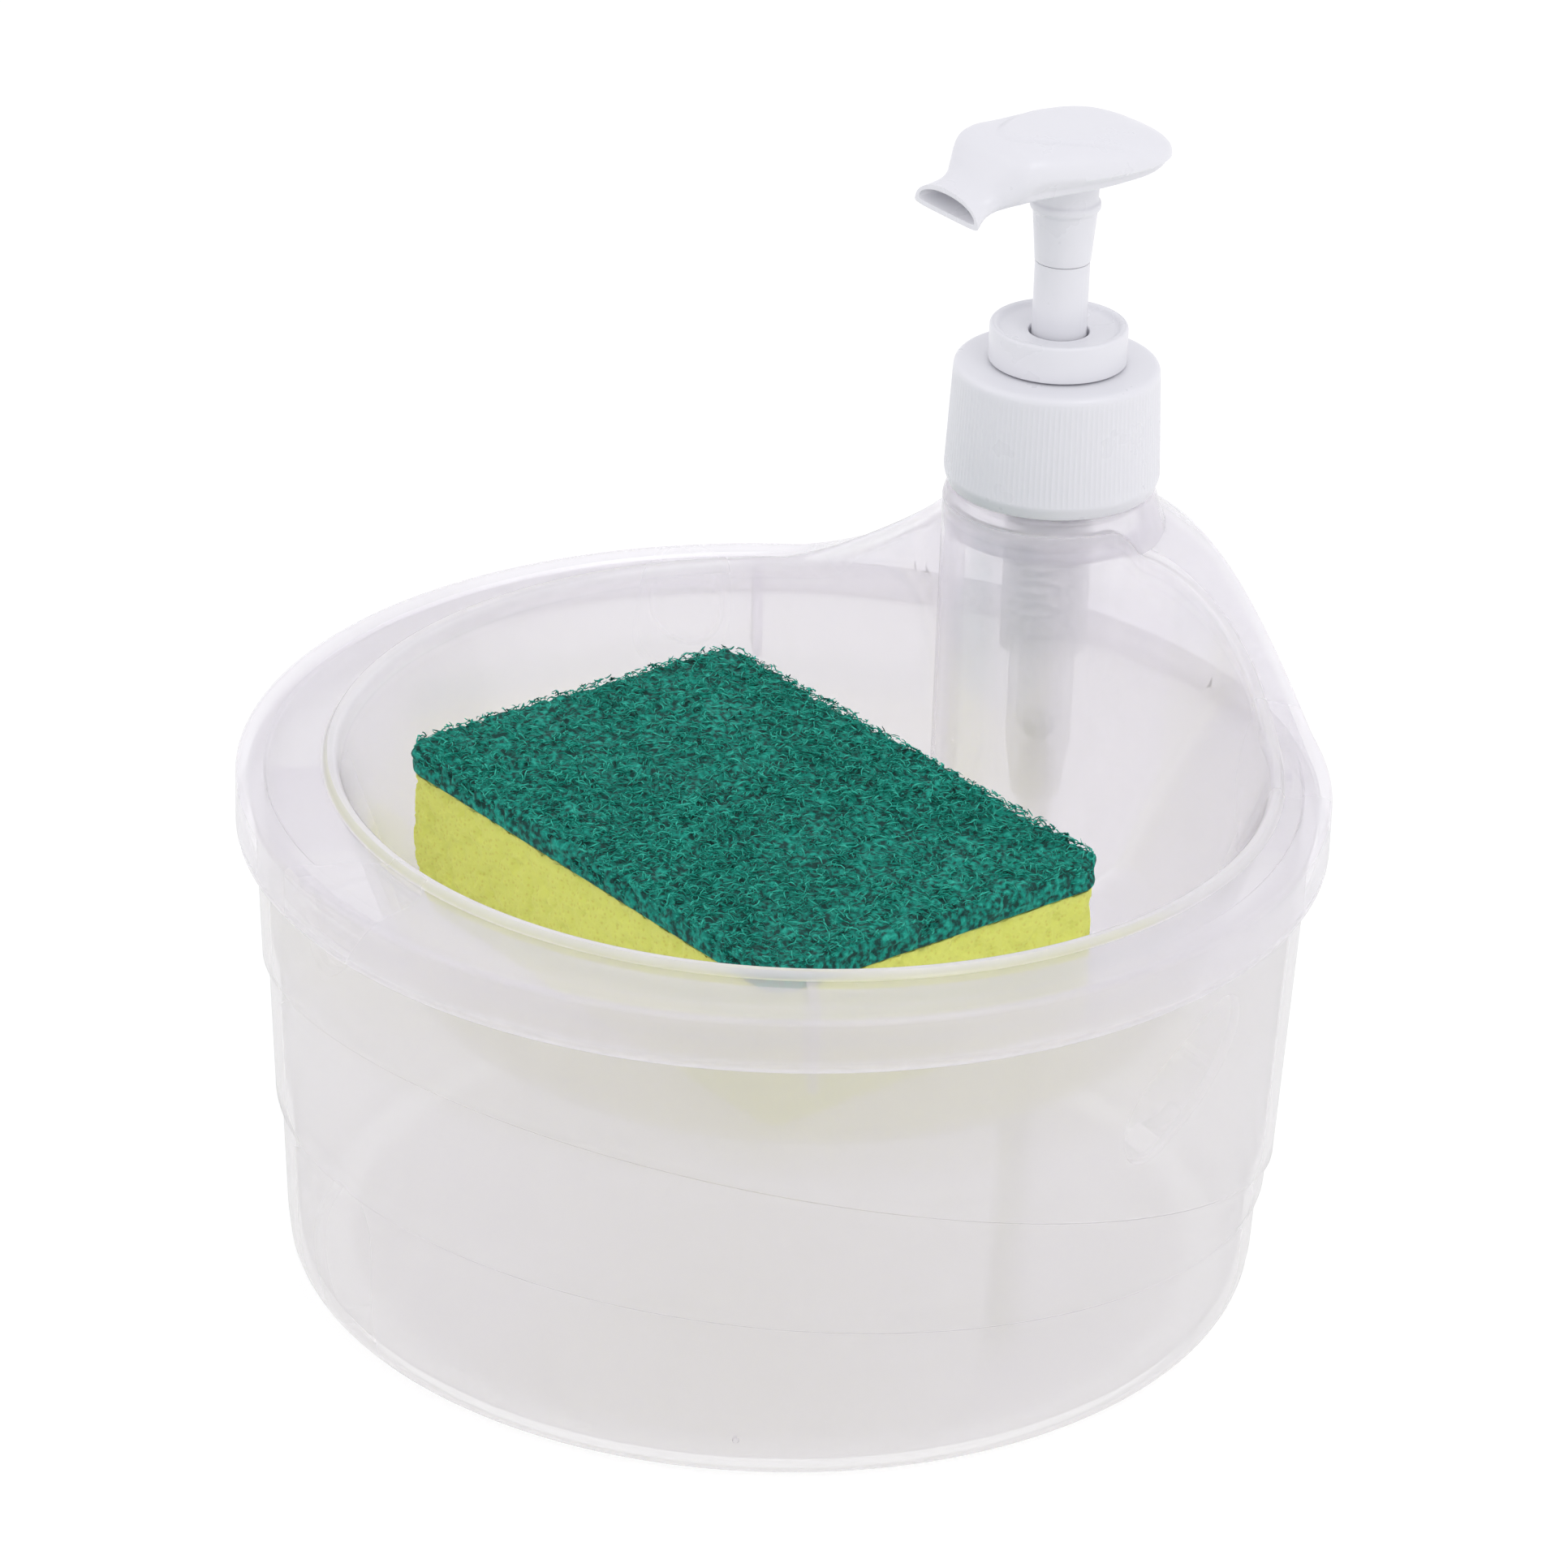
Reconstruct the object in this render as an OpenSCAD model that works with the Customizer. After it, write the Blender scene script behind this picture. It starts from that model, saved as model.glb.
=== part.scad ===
// Soap pump caddy: a round tub for dish soap, a lid with a sunken sponge bowl, and a lotion pump
// that stands on a raised neck behind the bowl. All sizes are in millimetres, z is up, the tub's
// axis is x = 0, y = 0, and the pump stands on the +y side. The spout points back over the bowl.

/* [Tub] */
// height of the tub's rim above the table
tub_h = 75; // [70:1:85]
// outer radius of the tub's wall at the rim
tub_r = 76.2; // [74:0.2:80]
// lean of the tub's wall, in degrees from upright
tub_lean = 2.6; // [1:0.1:4]
// thickness of the tub's wall
tub_wall = 1.6; // [1.2:0.1:2.2]
// thickness of the tub's floor
tub_floor = 1.9; // [1.4:0.1:3]
// radius of the tub's rounded bottom edge
base_round = 4; // [3:0.5:6]
// hollow under the floor, so that the tub stands on a ring
foot_rise = 0.8; // [0.4:0.1:1.2]
// width of the ring that the tub stands on
foot_width = 6; // [4:0.5:9]
// width of each sloping step in the tub's wall
step_width = 0.85; // [0.4:0.05:1.2]
// height of the upper step at the front
high_step_front = 54; // [46:1:60]
// height of the upper step at the back
high_step_back = 10; // [6:1:20]
// height of the lower step at the front
low_step_front = 28; // [22:1:34]
// height of the lower step at the back
low_step_back = 12; // [8:1:20]
// how far the bead on the rim stands out
bead_out = 0.5; // [0.3:0.1:0.8]
// height of the bead on the rim
bead_h = 2.4; // [1.6:0.1:3.5]

/* [Lid] */
// thickness of the lid's walls
lid_wall = 1.6; // [1.2:0.1:2]
// gap between the lid's skirt and the tub's bead
skirt_gap = 0.4; // [0.3:0.05:0.8]
// height of the skirt that hangs outside the tub
skirt_h = 7.6; // [6:0.2:10]
// thickness of the flange
plate = 1.3; // [1:0.1:1.8]
// how far the flange's outer band stands above the rest of it
band_rise = 0.5; // [0.3:0.1:0.8]
// width of the flange's outer band
band_width = 4.4; // [3:0.2:6]
// radius of the flange's rounded outer edge
edge_round = 0.9; // [0.6:0.1:1.2]
// gap where one piece sits on another
seat_gap = 0.05; // [0.02:0.01:0.1]
// number of webs under the flange that centre the lid
web_count = 4; // [3:1:6]
// thickness of a web
web_wide = 1.4; // [1:0.1:2]
// depth of a web below the flange
web_deep = 12; // [8:1:16]
// gap between a web and the tub's wall
web_gap = 0.6; // [0.4:0.1:1.2]

/* [Bowl] */
// width of the ledge between the bowl and the lid's edge at the front
ledge_front = 15.45; // [13:0.05:18]
// width of the same ledge at the back
ledge_back = 7.05; // [6.5:0.05:9]
// height of the bowl's crest above the flange
crest_rise = 1.1; // [0.8:0.1:2]
// depth of the bowl below its crest
bowl_depth = 33.8; // [28:0.2:38]
// lean of the bowl's wall, in degrees from upright
wall_lean = 19.5; // [16:0.1:22]
// radius of the hollow corner between wall and floor
bowl_round = 7; // [4:0.5:9]

/* [Hill and neck] */
// distance of the pump's axis from the lid's edge
pump_edge = 20.7; // [20:0.1:23]
// how far the hill's centre lies behind the pump's axis
hill_back = 2.3; // [0:0.1:3]
// height of the hill above the flange
hill_h = 24; // [20:0.5:26]
// radius of the hill's flat top
hill_top_r = 7.1; // [5:0.1:9]
// radius at which the hill runs out into the flange
hill_foot_r = 59; // [50:0.5:62]
// how quickly the hill falls away, as a power of a cosine wave
hill_power = 1.48; // [1.2:0.01:1.8]
// thickness of the hill's roof, measured upright
hill_roof = 1.9; // [1.5:0.1:2.4]
// radius of the upright bay that stands out into the bowl round the pump
bay_r = 16; // [15:0.1:17]
// radius of the hollow corners beside the bay
bay_round = 14; // [10:0.5:17]
// height of the shoulder above the flange, which the collar comes down to
shoulder_h = 27; // [26.6:0.1:28]
// top radius of the shoulder
shoulder_r = 15.3; // [14.6:0.1:15.6]
// radius at the foot of the shoulder's slope
shoulder_foot_r = 17.6; // [16.4:0.1:18]
// height of the threaded neck above the shoulder
neck_h = 14.2; // [13:0.1:14.6]
// outer radius of the neck between its threads
neck_r = 12.9; // [12.6:0.1:13]
// radius of the neck's bore
neck_bore_r = 11; // [10:0.1:11.2]

/* [Thread] */
// rise of the thread in one turn
pitch = 3.2; // [3:0.1:3.6]
// height of a thread above its wall
thread_deep = 1; // [0.8:0.05:1.05]
// width of a thread at its foot
thread_foot = 1.2; // [0.9:0.05:1.3]
// width of a thread at its crest
thread_crest = 0.7; // [0.5:0.05:0.8]
// turns of thread on the neck
neck_turns = 2.25; // [1.5:0.25:2.5]
// turns of thread in the collar
collar_turns = 1.5; // [1:0.25:1.75]

/* [Collar] */
// height of the collar
collar_h = 19; // [18.6:0.1:19.6]
// radius of the collar at its lower edge
collar_foot_r = 15.4; // [15.2:0.1:15.8]
// radius of the collar at its widest, just above the lower edge
collar_wide_r = 16; // [15.8:0.1:16.2]
// height of the widest place above the lower edge
collar_bevel = 1.8; // [1:0.1:2.5]
// radius of the collar near its top
collar_top_r = 15.2; // [15:0.1:15.5]
// radius of the collar's rounded top edge
collar_round = 1.1; // [0.6:0.1:1.3]
// inside radius of the collar
collar_bore_r = 14.3; // [14.2:0.05:14.4]
// gap between the collar's lower edge and the shoulder
collar_gap = 0.4; // [0.3:0.05:0.8]

/* [Pump housing] */
// thickness of the sealing ring on the neck
gasket = 1.1; // [0.9:0.1:1.2]
// thickness of the housing's flange
flange = 1.7; // [1.3:0.1:1.8]
// radius of the housing's flange
flange_r = 12.9; // [12:0.1:13.1]
// outer radius of the housing's snout above its flange
snout_r = 8.4; // [8:0.1:8.6]
// height of the snout above its flange
snout_h = 5.8; // [5:0.1:6.2]
// inside radius of the snout
snout_bore_r = 6.5; // [6.4:0.05:6.7]
// outer radius of the housing's barrel
barrel_r = 6.5; // [6.3:0.1:6.8]
// inside radius of the housing's barrel
barrel_bore_r = 5.5; // [5.4:0.05:5.6]
// length of the barrel below the flange
barrel_h = 41.5; // [40:0.5:43]
// depth to which the snout's wide bore reaches below the flange
snout_deep = 9; // [8:0.1:10]
// outer radius of the valve chamber
chamber_r = 4.9; // [4.7:0.1:5.2]
// inside radius of the valve chamber
chamber_bore_r = 3.4; // [3.3:0.05:3.5]
// length of the valve chamber
chamber_h = 15.5; // [14:0.5:17]
// length of the socket for the dip tube
socket_h = 9; // [7:0.5:11]
// radius of the valve ball
ball_r = 2.5; // [2.4:0.05:2.6]
// radius of the hole that the ball closes
seat_hole_r = 1.6; // [1.3:0.05:1.8]

/* [Dip tube] */
// outer radius of the dip tube
tube_r = 2.7; // [2.5:0.05:2.8]
// radius of the dip tube's bore
tube_bore_r = 1.9; // [1.6:0.05:2]
// gap between the dip tube and its socket
tube_gap = 0.02; // [0.01:0.01:0.04]
// upright length of the tube below the housing
tube_drop = 4; // [3:0.5:6]
// radius of the tube's bend
tube_bend_r = 30; // [26:0.5:32]
// gap between the tube's lower end and the tub's floor
tube_foot_gap = 0.9; // [0.3:0.05:1.5]
// direction of the bend, in degrees from straight ahead under the bowl
tube_turn = 38; // [20:0.5:50]

/* [Lock ring] */
// outer radius of the lock ring
lock_r = 10.2; // [10:0.1:10.6]
// height of the lock ring above the collar
lock_h = 6; // [5.6:0.1:6.6]
// gap between the lock ring and the collar
lock_gap = 0.3; // [0.3:0.05:0.5]
// depth of the dish in the lock ring's top
lock_dish = 1.1; // [0.6:0.1:1.3]
// thickness of the lock ring's guide sleeve
guide_wall = 1.55; // [1.2:0.05:1.6]

/* [Stem and piston] */
// outer radius of the stem
stem_r = 4.05; // [3.9:0.05:4.2]
// gap round the stem in the lock ring
stem_gap = 0.4; // [0.3:0.05:0.5]
// radius of the stem's bore
stem_bore_r = 1.2; // [1:0.05:1.4]
// height of the stem's shoulder above the lock ring
stem_show = 9.8; // [9:0.1:11]
// radius of the stem's upper spigot in the head
spigot_r = 3; // [2.9:0.05:3.1]
// length of the upper spigot
spigot_h = 7.4; // [6:0.2:8]
// radius of the stem's lower spigot in the piston
foot_r = 2.7; // [2.5:0.05:2.8]
// length of the lower spigot
foot_h = 5.4; // [4.6:0.1:6]
// height of the piston
piston_h = 6.4; // [6:0.1:7]
// gap round the piston in the barrel
piston_gap = 0.05; // [0.03:0.01:0.08]
// gap of a pressed joint between two pieces that stay together
press_gap = 0.03; // [0.02:0.01:0.05]
// distance that the head goes down
stroke = 12; // [10:0.5:12.5]
// radius of the outlet ball in the stem's top
outlet_r = 1.6; // [1.5:0.05:1.7]

/* [Spring] */
// mean radius of the spring
spring_r = 4.2; // [4:0.05:4.3]
// thickness of the spring's wire
wire = 0.9; // [0.8:0.05:1]
// number of coils
coils = 8; // [7:1:9]

/* [Head] */
// radius at the top of the head's sleeve
sleeve_r = 4.9; // [4.7:0.05:5.2]
// height of the head's sleeve
sleeve_h = 9.2; // [8:0.2:10]
// radius of the ring round the sleeve's top
sleeve_ring_r = 5.2; // [5:0.05:5.5]
// gap between the sleeve's ring and the head's underside
head_lift = 4.2; // [3.5:0.1:5]
// thickness of the head's thumb pad
pad_thick = 8.2; // [7:0.1:9]
// half width of the thumb pad
pad_half = 10.8; // [10:0.1:11.5]
// reach of the thumb pad behind the pump's axis
pad_back = 15.4; // [14.5:0.1:17]
// reach of the thumb pad in front of the pump's axis
pad_front = 16.6; // [15.5:0.1:17.5]
// rounding of the thumb pad's edge
pad_edge = 2.6; // [2:0.1:3]
// reach of the spout's tip from the pump's axis
spout_reach = 24; // [21:0.5:27]
// half width of the spout at its root
spout_half = 5.8; // [5.2:0.1:6.4]
// half width of the spout's mouth
mouth_half = 5.3; // [4.8:0.1:5.6]
// height of the spout's mouth
mouth_h = 4.2; // [3.6:0.1:4.6]
// drop of the mouth below the head's underside
mouth_drop = 0.8; // [0.5:0.1:1.4]
// thickness of the spout's walls
spout_wall = 1.1; // [0.9:0.05:1.3]
// degrees that the head stands turned to the left
head_turn = 12; // [0:1:30]

/* [Sponge] */
// length of the sponge
sponge_l = 89; // [84:0.5:94]
// width of the sponge
sponge_w = 60; // [54:0.5:62]
// thickness of the foam
foam_thick = 21.8; // [20:0.1:23]
// thickness of the scouring pad
scour_thick = 4.4; // [4:0.2:6]
// radius of the sponge's corners
sponge_round = 4.4; // [3:0.2:8]
// how far the sponge lies to the left of the bowl's centre
sponge_left = 5.1; // [0:0.1:6]
// how far the sponge lies in front of the bowl's centre
sponge_ahead = 5.8; // [2:0.1:7]
// gap left all round where the foam presses on the bowl
sponge_gap = 0.25; // [0.2:0.05:0.4]
// turn of the sponge in the bowl, in degrees
sponge_turn = 10.2; // [0:0.2:20]

/* [Hidden] */
$fn = 96;
fine = 32;
steps = 32;

// How far a cutting shape runs past the piece that it cuts.
over = 2 * lid_wall;

// Tub: how much the wall's radius grows for each unit of height.
lean = tan(tub_lean);
base_r = tub_r - tub_h * lean;
high_mid = (high_step_front + high_step_back) / 2;
high_tilt = atan((high_step_front - high_step_back) / (2 * tub_r));
low_mid = (low_step_front + low_step_back) / 2;
low_tilt = atan((low_step_front - low_step_back) / (2 * tub_r));
inner_r = tub_r - tub_wall;
span = 3 * tub_r;

// Lid heights.
lid_r = tub_r + bead_out + skirt_gap + lid_wall;
skirt_in = lid_r - lid_wall;
seat_z = tub_h + seat_gap;
plate_z = seat_z + plate;
crest_z = plate_z + crest_rise;
skirt_z = plate_z - skirt_h;

// Bowl: it lies between the two ledges, and its wall leans in towards the floor.
bowl_r = lid_r - (ledge_front + ledge_back) / 2;
bowl_back = (ledge_front - ledge_back) / 2;
bowl_floor_r = bowl_r - bowl_depth * tan(wall_lean);
floor_z = crest_z - bowl_depth;
skin = lid_wall / cos(wall_lean);
corner_x = bowl_floor_r + bowl_round * (tan(wall_lean) - 1 / cos(wall_lean));

// Bay: its two hollow corners touch both the bowl's wall and the bay.
pump_back = lid_r - pump_edge;
far_leg = bowl_r - bay_round;
near_leg = bay_r + bay_round;
bay_gap = pump_back - bowl_back;
bay_along = (far_leg * far_leg - near_leg * near_leg + bay_gap * bay_gap) / (2 * bay_gap);
bay_x = sqrt(far_leg * far_leg - bay_along * bay_along);
bay_y = bowl_back + bay_along;
bay_steps = 10;

// Hill and neck.
hill_y = pump_back + hill_back;
hill_points = 28;
shoulder_z = plate_z + shoulder_h;
shoulder_foot_z = plate_z + hill_h * 0.86;
neck_top = shoulder_z + neck_h;
thread_z = shoulder_z + collar_bevel + thread_foot;

// Pump heights, from the collar's lower edge to the lock ring's top.
collar_z = shoulder_z + collar_gap;
collar_top = collar_z + collar_h;
gasket_z = neck_top + seat_gap;
flange_z = gasket_z + gasket + seat_gap;
flange_top = flange_z + flange;
snout_top = flange_top + snout_h;
barrel_z = flange_z - barrel_h;
barrel_wall = barrel_r - barrel_bore_r;
chamber_z = barrel_z - chamber_h;
socket_z = chamber_z - socket_h;
lock_z = collar_top + lock_gap;
lock_top = collar_top + lock_h;

// The inlet ball rests on the cone round its hole.
seat_lean = atan((chamber_bore_r - seat_hole_r) / ball_r);
ball_z = chamber_z + (ball_r + seat_gap - seat_hole_r * cos(seat_lean)) / sin(seat_lean);

// Stem and piston.
stem_top = lock_top + stem_show;
hole_r = stem_r + stem_gap;
guide_z = flange_z - snout_deep + seat_gap;
piston_top = guide_z - lock_gap;
piston_z = piston_top - piston_h;
stem_foot = piston_top + seat_gap;
outlet_seat = stem_top + spigot_h - 2.4 * outlet_r;
outlet_z = outlet_seat + sqrt(outlet_r * outlet_r - stem_bore_r * stem_bore_r) + seat_gap;

// Spring: from the barrel's ledge to the piston.
spring_low = barrel_z + barrel_wall + wire / 2 + seat_gap;
spring_high = piston_z - wire / 2 - seat_gap;

// Head heights.
sleeve_z = stem_top + seat_gap;
sleeve_top = sleeve_z + sleeve_h;
head_z = sleeve_top + head_lift;
head_top = head_z + pad_thick;
mouth_z = head_z - mouth_drop;

// Sponge heights.
foam_z = floor_z + sponge_gap;
scour_z = foam_z + foam_thick;

// Dip tube: it reaches across the floor by a share of the tub's room, and its bend is the one
// that brings the straight end down to the floor there.
tube_reach_share = 0.64;
tube_reach = tube_reach_share * (pump_back + inner_r);
tube_top = chamber_z - ball_r;
tube_turn_z = socket_z - tube_drop;
tube_fall = tube_turn_z - tub_floor - tube_foot_gap - tube_r;
tube_far = sqrt(pow(tube_reach - tube_bend_r, 2) + tube_fall * tube_fall);
tube_bend = 180 - atan2(tube_fall, tube_reach - tube_bend_r) - acos(tube_bend_r / tube_far);
tube_end = sqrt(tube_far * tube_far - tube_bend_r * tube_bend_r);
lap_turn = 2;

// The solid inside the tub's outer wall, drawn in by inset, from its floor at low up to top. The
// steps of the inner wall lie higher by rise, so that the wall keeps its thickness there.
module tub_form(inset, low, corner, rise, top) {
  foot = base_r - inset - 2 * step_width + low * lean;
  intersection() {
    rotate_extrude()
      union() {
        translate([foot - corner, low + corner])
          circle(corner);
        polygon([[0, low], [foot - corner, low], [foot, low + corner],
                 [foot + top * lean + 2 * step_width, top], [0, top]]);
      }
    wall_cone(inset + 2 * step_width, top);
  }
  intersection() {
    wall_cone(inset + step_width, top);
    above(low_mid + rise, low_tilt);
    above_floor(low + corner);
  }
  intersection() {
    wall_cone(inset, top);
    above(high_mid + rise, high_tilt);
    above_floor(low + corner);
  }
}

// The leaning wall as a plain cone, drawn in by inset, up to top.
module wall_cone(inset, top) {
  cylinder(h = top, r1 = base_r - inset, r2 = base_r + top * lean - inset);
}

// Everything above a plane that slopes down from front to back.
module above(mid, tilt) {
  translate([0, 0, mid])
    rotate([-tilt, 0, 0])
      translate([-span / 2, -span / 2, 0])
        cube([span, span, span]);
}

// Everything above a level plane.
module above_floor(low) {
  translate([-span / 2, -span / 2, low])
    cube([span, span, span]);
}

// The tub: a leaning wall with two sloping steps, a rounded bottom edge and a beaded rim.
module tub() {
  color([0.86, 0.87, 0.9, 0.5])
    difference() {
      union() {
        tub_form(0, 0, base_round, 0, tub_h);
        translate([0, 0, tub_h - bead_h])
          cylinder(h = bead_h, r = tub_r + bead_out);
      }
      tub_form(tub_wall, tub_floor, base_round - tub_wall, tub_wall, tub_h + over);
      translate([0, 0, -foot_rise])
        cylinder(h = 2 * foot_rise, r = base_r - 2 * step_width - base_round - foot_width);
    }
}

// The bowl as a solid, grown by grow on every side: a cone with a rounded lower corner, and
// above its crest an upright cylinder up to top.
module bowl_form(grow, top) {
  slant = grow / cos(wall_lean);
  round_r = bowl_round + grow;
  translate([0, bowl_back, 0])
    rotate_extrude()
      union() {
        polygon([[0, floor_z - grow], [corner_x, floor_z - grow],
                 [corner_x, floor_z + bowl_round],
                 [corner_x + round_r * cos(wall_lean),
                  floor_z + bowl_round - round_r * sin(wall_lean)],
                 [bowl_r + slant, crest_z], [bowl_r + slant, top], [0, top]]);
        intersection() {
          translate([corner_x, floor_z + bowl_round])
            circle(round_r);
          translate([corner_x, floor_z - grow])
            square([round_r, round_r]);
        }
      }
}

// The outline of the bay in plan, drawn in by inset: a round front and a hollow corner on each
// side that runs out into the bowl's wall.
module bay_outline(inset) {
  turn = atan2(pump_back - bay_y, bay_x);
  run = atan2(bay_y - bowl_back, bay_x);
  front = [for (i = [-bay_steps:bay_steps])
            let (a = -90 + (90 - turn) * i / bay_steps)
            [(bay_r - inset) * cos(a), pump_back + (bay_r - inset) * sin(a)]];
  right = [for (i = [1:bay_steps])
            let (a = 180 - turn - (180 - turn - run) * i / bay_steps)
            [bay_x + (bay_round + inset) * cos(a), bay_y + (bay_round + inset) * sin(a)]];
  left = [for (i = [bay_steps - 1:-1:0]) [-right[i][0], right[i][1]]];
  back = bowl_back + bowl_r + bay_r;
  polygon(concat(front, right, [[bay_x, back], [-bay_x, back]], left));
}

// The open room of the bowl and above it, grown by grow, without the bay.
module bowl_room(grow) {
  difference() {
    bowl_form(grow, crest_z + shoulder_h);
    translate([0, 0, floor_z - bowl_round])
      linear_extrude(bowl_depth + bowl_round + 2 * shoulder_h)
        bay_outline(grow);
  }
}

// Height of the hill above the flange at a distance from its centre.
function hill(d) = hill_h * pow((1 + cos(180 * max(0, d - hill_top_r)
                                         / (hill_foot_r - hill_top_r))) / 2, hill_power);

// The hill as a solid on the flange, lowered by drop and cut at radius cut, down to low.
module hill_form(drop, cut, low) {
  intersection() {
    translate([0, hill_y, 0])
      rotate_extrude()
        polygon(concat([[0, low]],
                       [for (i = [hill_points:-1:1])
                         let (d = hill_top_r + (hill_foot_r - hill_top_r) * i / hill_points)
                         [d, max(low, plate_z + hill(d) - drop)]],
                       [[0, plate_z + hill_h - drop]],
                       []));
    translate([0, 0, low])
      cylinder(h = tub_h, r = cut);
  }
}

// The flange with its outer band and the skirt outside the tub.
module flange_form() {
  rotate_extrude()
    union() {
      translate([0, seat_z])
        square([lid_r - edge_round, plate]);
      translate([lid_r - band_width, seat_z])
        square([band_width - edge_round, plate + band_rise]);
      translate([lid_r - edge_round, plate_z + band_rise - edge_round])
        circle(edge_round);
      translate([skirt_in, skirt_z])
        square([lid_wall, skirt_h + band_rise - edge_round]);
    }
}

// A thread as a ridge along a helix that starts at height low. The ridge stands out from radius
// wall_r when out is 1 and in when out is -1, and both of its ends run out into the wall.
module thread(wall_r, low, turns, out) {
  count = ceil(turns * steps);
  lead = steps / 4;
  sunk = thread_deep / 4;
  rings = [for (i = [0:count])
            let (a = 360 * i / steps, z = low + pitch * i / steps,
                 k = min(1, i / lead, (count - i) / lead),
                 tip = wall_r + out * (thread_deep * k - sunk * (1 - k) / 2),
                 foot = wall_r - out * sunk)
            for (q = [[foot, -thread_foot / 2], [tip, -thread_crest / 2],
                      [tip, thread_crest / 2], [foot, thread_foot / 2]])
              [q[0] * cos(a), q[0] * sin(a), z + q[1]]];
  sides = [for (i = [0:count - 1], j = [0:3])
            let (a = 4 * i + j, b = 4 * i + (j + 1) % 4)
            each [[a, b, b + 4], [a, b + 4, a + 4]]];
  ends = [[0, 3, 2, 1], [4 * count, 4 * count + 1, 4 * count + 2, 4 * count + 3]];
  turned = [for (f = concat(sides, ends)) [for (k = [len(f) - 1:-1:0]) f[k]]];
  polyhedron(points = rings, faces = out > 0 ? concat(sides, ends) : turned, convexity = 6);
}

// The lid: flange and skirt, sponge bowl, hill, bay and threaded neck, all one moulding.
module lid() {
  web_low = seat_z - web_deep;
  color([0.86, 0.87, 0.9, 0.5])
    difference() {
      union() {
        difference() {
          union() {
            flange_form();
            bowl_form(lid_wall, crest_z);
            hill_form(0, lid_r - edge_round / 3, seat_z);
            translate([0, pump_back, shoulder_foot_z])
              cylinder(h = shoulder_z - shoulder_foot_z, r1 = shoulder_foot_r, r2 = shoulder_r);
          }
          bowl_room(0);
          difference() {
            hill_form(hill_roof, skirt_in, seat_z - over);
            bowl_room(lid_wall);
          }
          intersection() {
            translate([0, 0, floor_z - 2 * lid_wall])
              linear_extrude(seat_z - floor_z + lid_wall)
                bay_outline(lid_wall);
            cylinder(h = tub_h, r = inner_r);
          }
          translate([0, pump_back, seat_z])
            cylinder(h = shoulder_h, r = shoulder_r - lid_wall);
        }
        translate([0, pump_back, shoulder_z - lid_wall])
          cylinder(h = neck_h + lid_wall, r = neck_r);
        translate([0, pump_back, 0])
          thread(neck_r, thread_z, neck_turns, 1);
        for (i = [0:web_count - 1])
          difference() {
            rotate([0, 0, 45 + 360 * i / web_count])
              translate([bowl_floor_r, -web_wide / 2, web_low])
                cube([inner_r - web_gap - bowl_floor_r - web_deep * lean, web_wide,
                      web_deep + plate / 2]);
            bowl_form(lid_wall / 2, crest_z);
          }
      }
      translate([0, pump_back, crest_z])
        cylinder(h = shoulder_h + neck_h, r = neck_bore_r);
    }
}

// The soft ring between the neck and the housing's flange.
module neck_gasket() {
  color([0.8, 0.8, 0.8])
    translate([0, pump_back, gasket_z])
      difference() {
        cylinder(h = gasket, r = neck_r);
        translate([0, 0, -gasket])
          cylinder(h = 3 * gasket, r = snout_r + 2 * stem_gap);
      }
}

// The threaded collar that holds the pump on the neck.
module collar() {
  roof_z = flange_top + seat_gap - collar_z;
  color([0.95, 0.95, 0.96])
    translate([0, pump_back, 0]) {
      translate([0, 0, collar_z])
        rotate_extrude() {
          difference() {
            union() {
              polygon([[0, 0], [collar_foot_r, 0], [collar_wide_r, collar_bevel],
                       [collar_top_r, collar_h - collar_round],
                       [collar_top_r - collar_round, collar_h], [0, collar_h]]);
              translate([collar_top_r - collar_round, collar_h - collar_round])
                circle(collar_round);
            }
            translate([0, -over])
              square([collar_bore_r, roof_z + over]);
            translate([0, -over])
              square([snout_r + stem_gap, collar_h + 2 * over]);
          }
        }
      thread(collar_bore_r, thread_z + pitch / 2, collar_turns, -1);
    }
}

// The lock ring: a cap on the housing's snout with a guide sleeve for the stem.
module lock_ring() {
  color([0.95, 0.95, 0.96])
    translate([0, pump_back, 0])
      rotate_extrude()
        union() {
          translate([snout_r + press_gap, lock_z])
            square([lock_r - snout_r - press_gap, lock_top - lock_z - lock_dish / 2]);
          polygon([[hole_r, snout_top + seat_gap], [lock_r, snout_top + seat_gap],
                   [lock_r, lock_top - lock_dish / 2], [lock_r - lock_dish / 2, lock_top],
                   [lock_r - lock_dish, lock_top], [hole_r + lock_dish, lock_top - lock_dish],
                   [hole_r, lock_top - lock_dish]]);
          translate([hole_r, guide_z])
            square([guide_wall, lock_top - lock_dish - guide_z]);
        }
}

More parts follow.
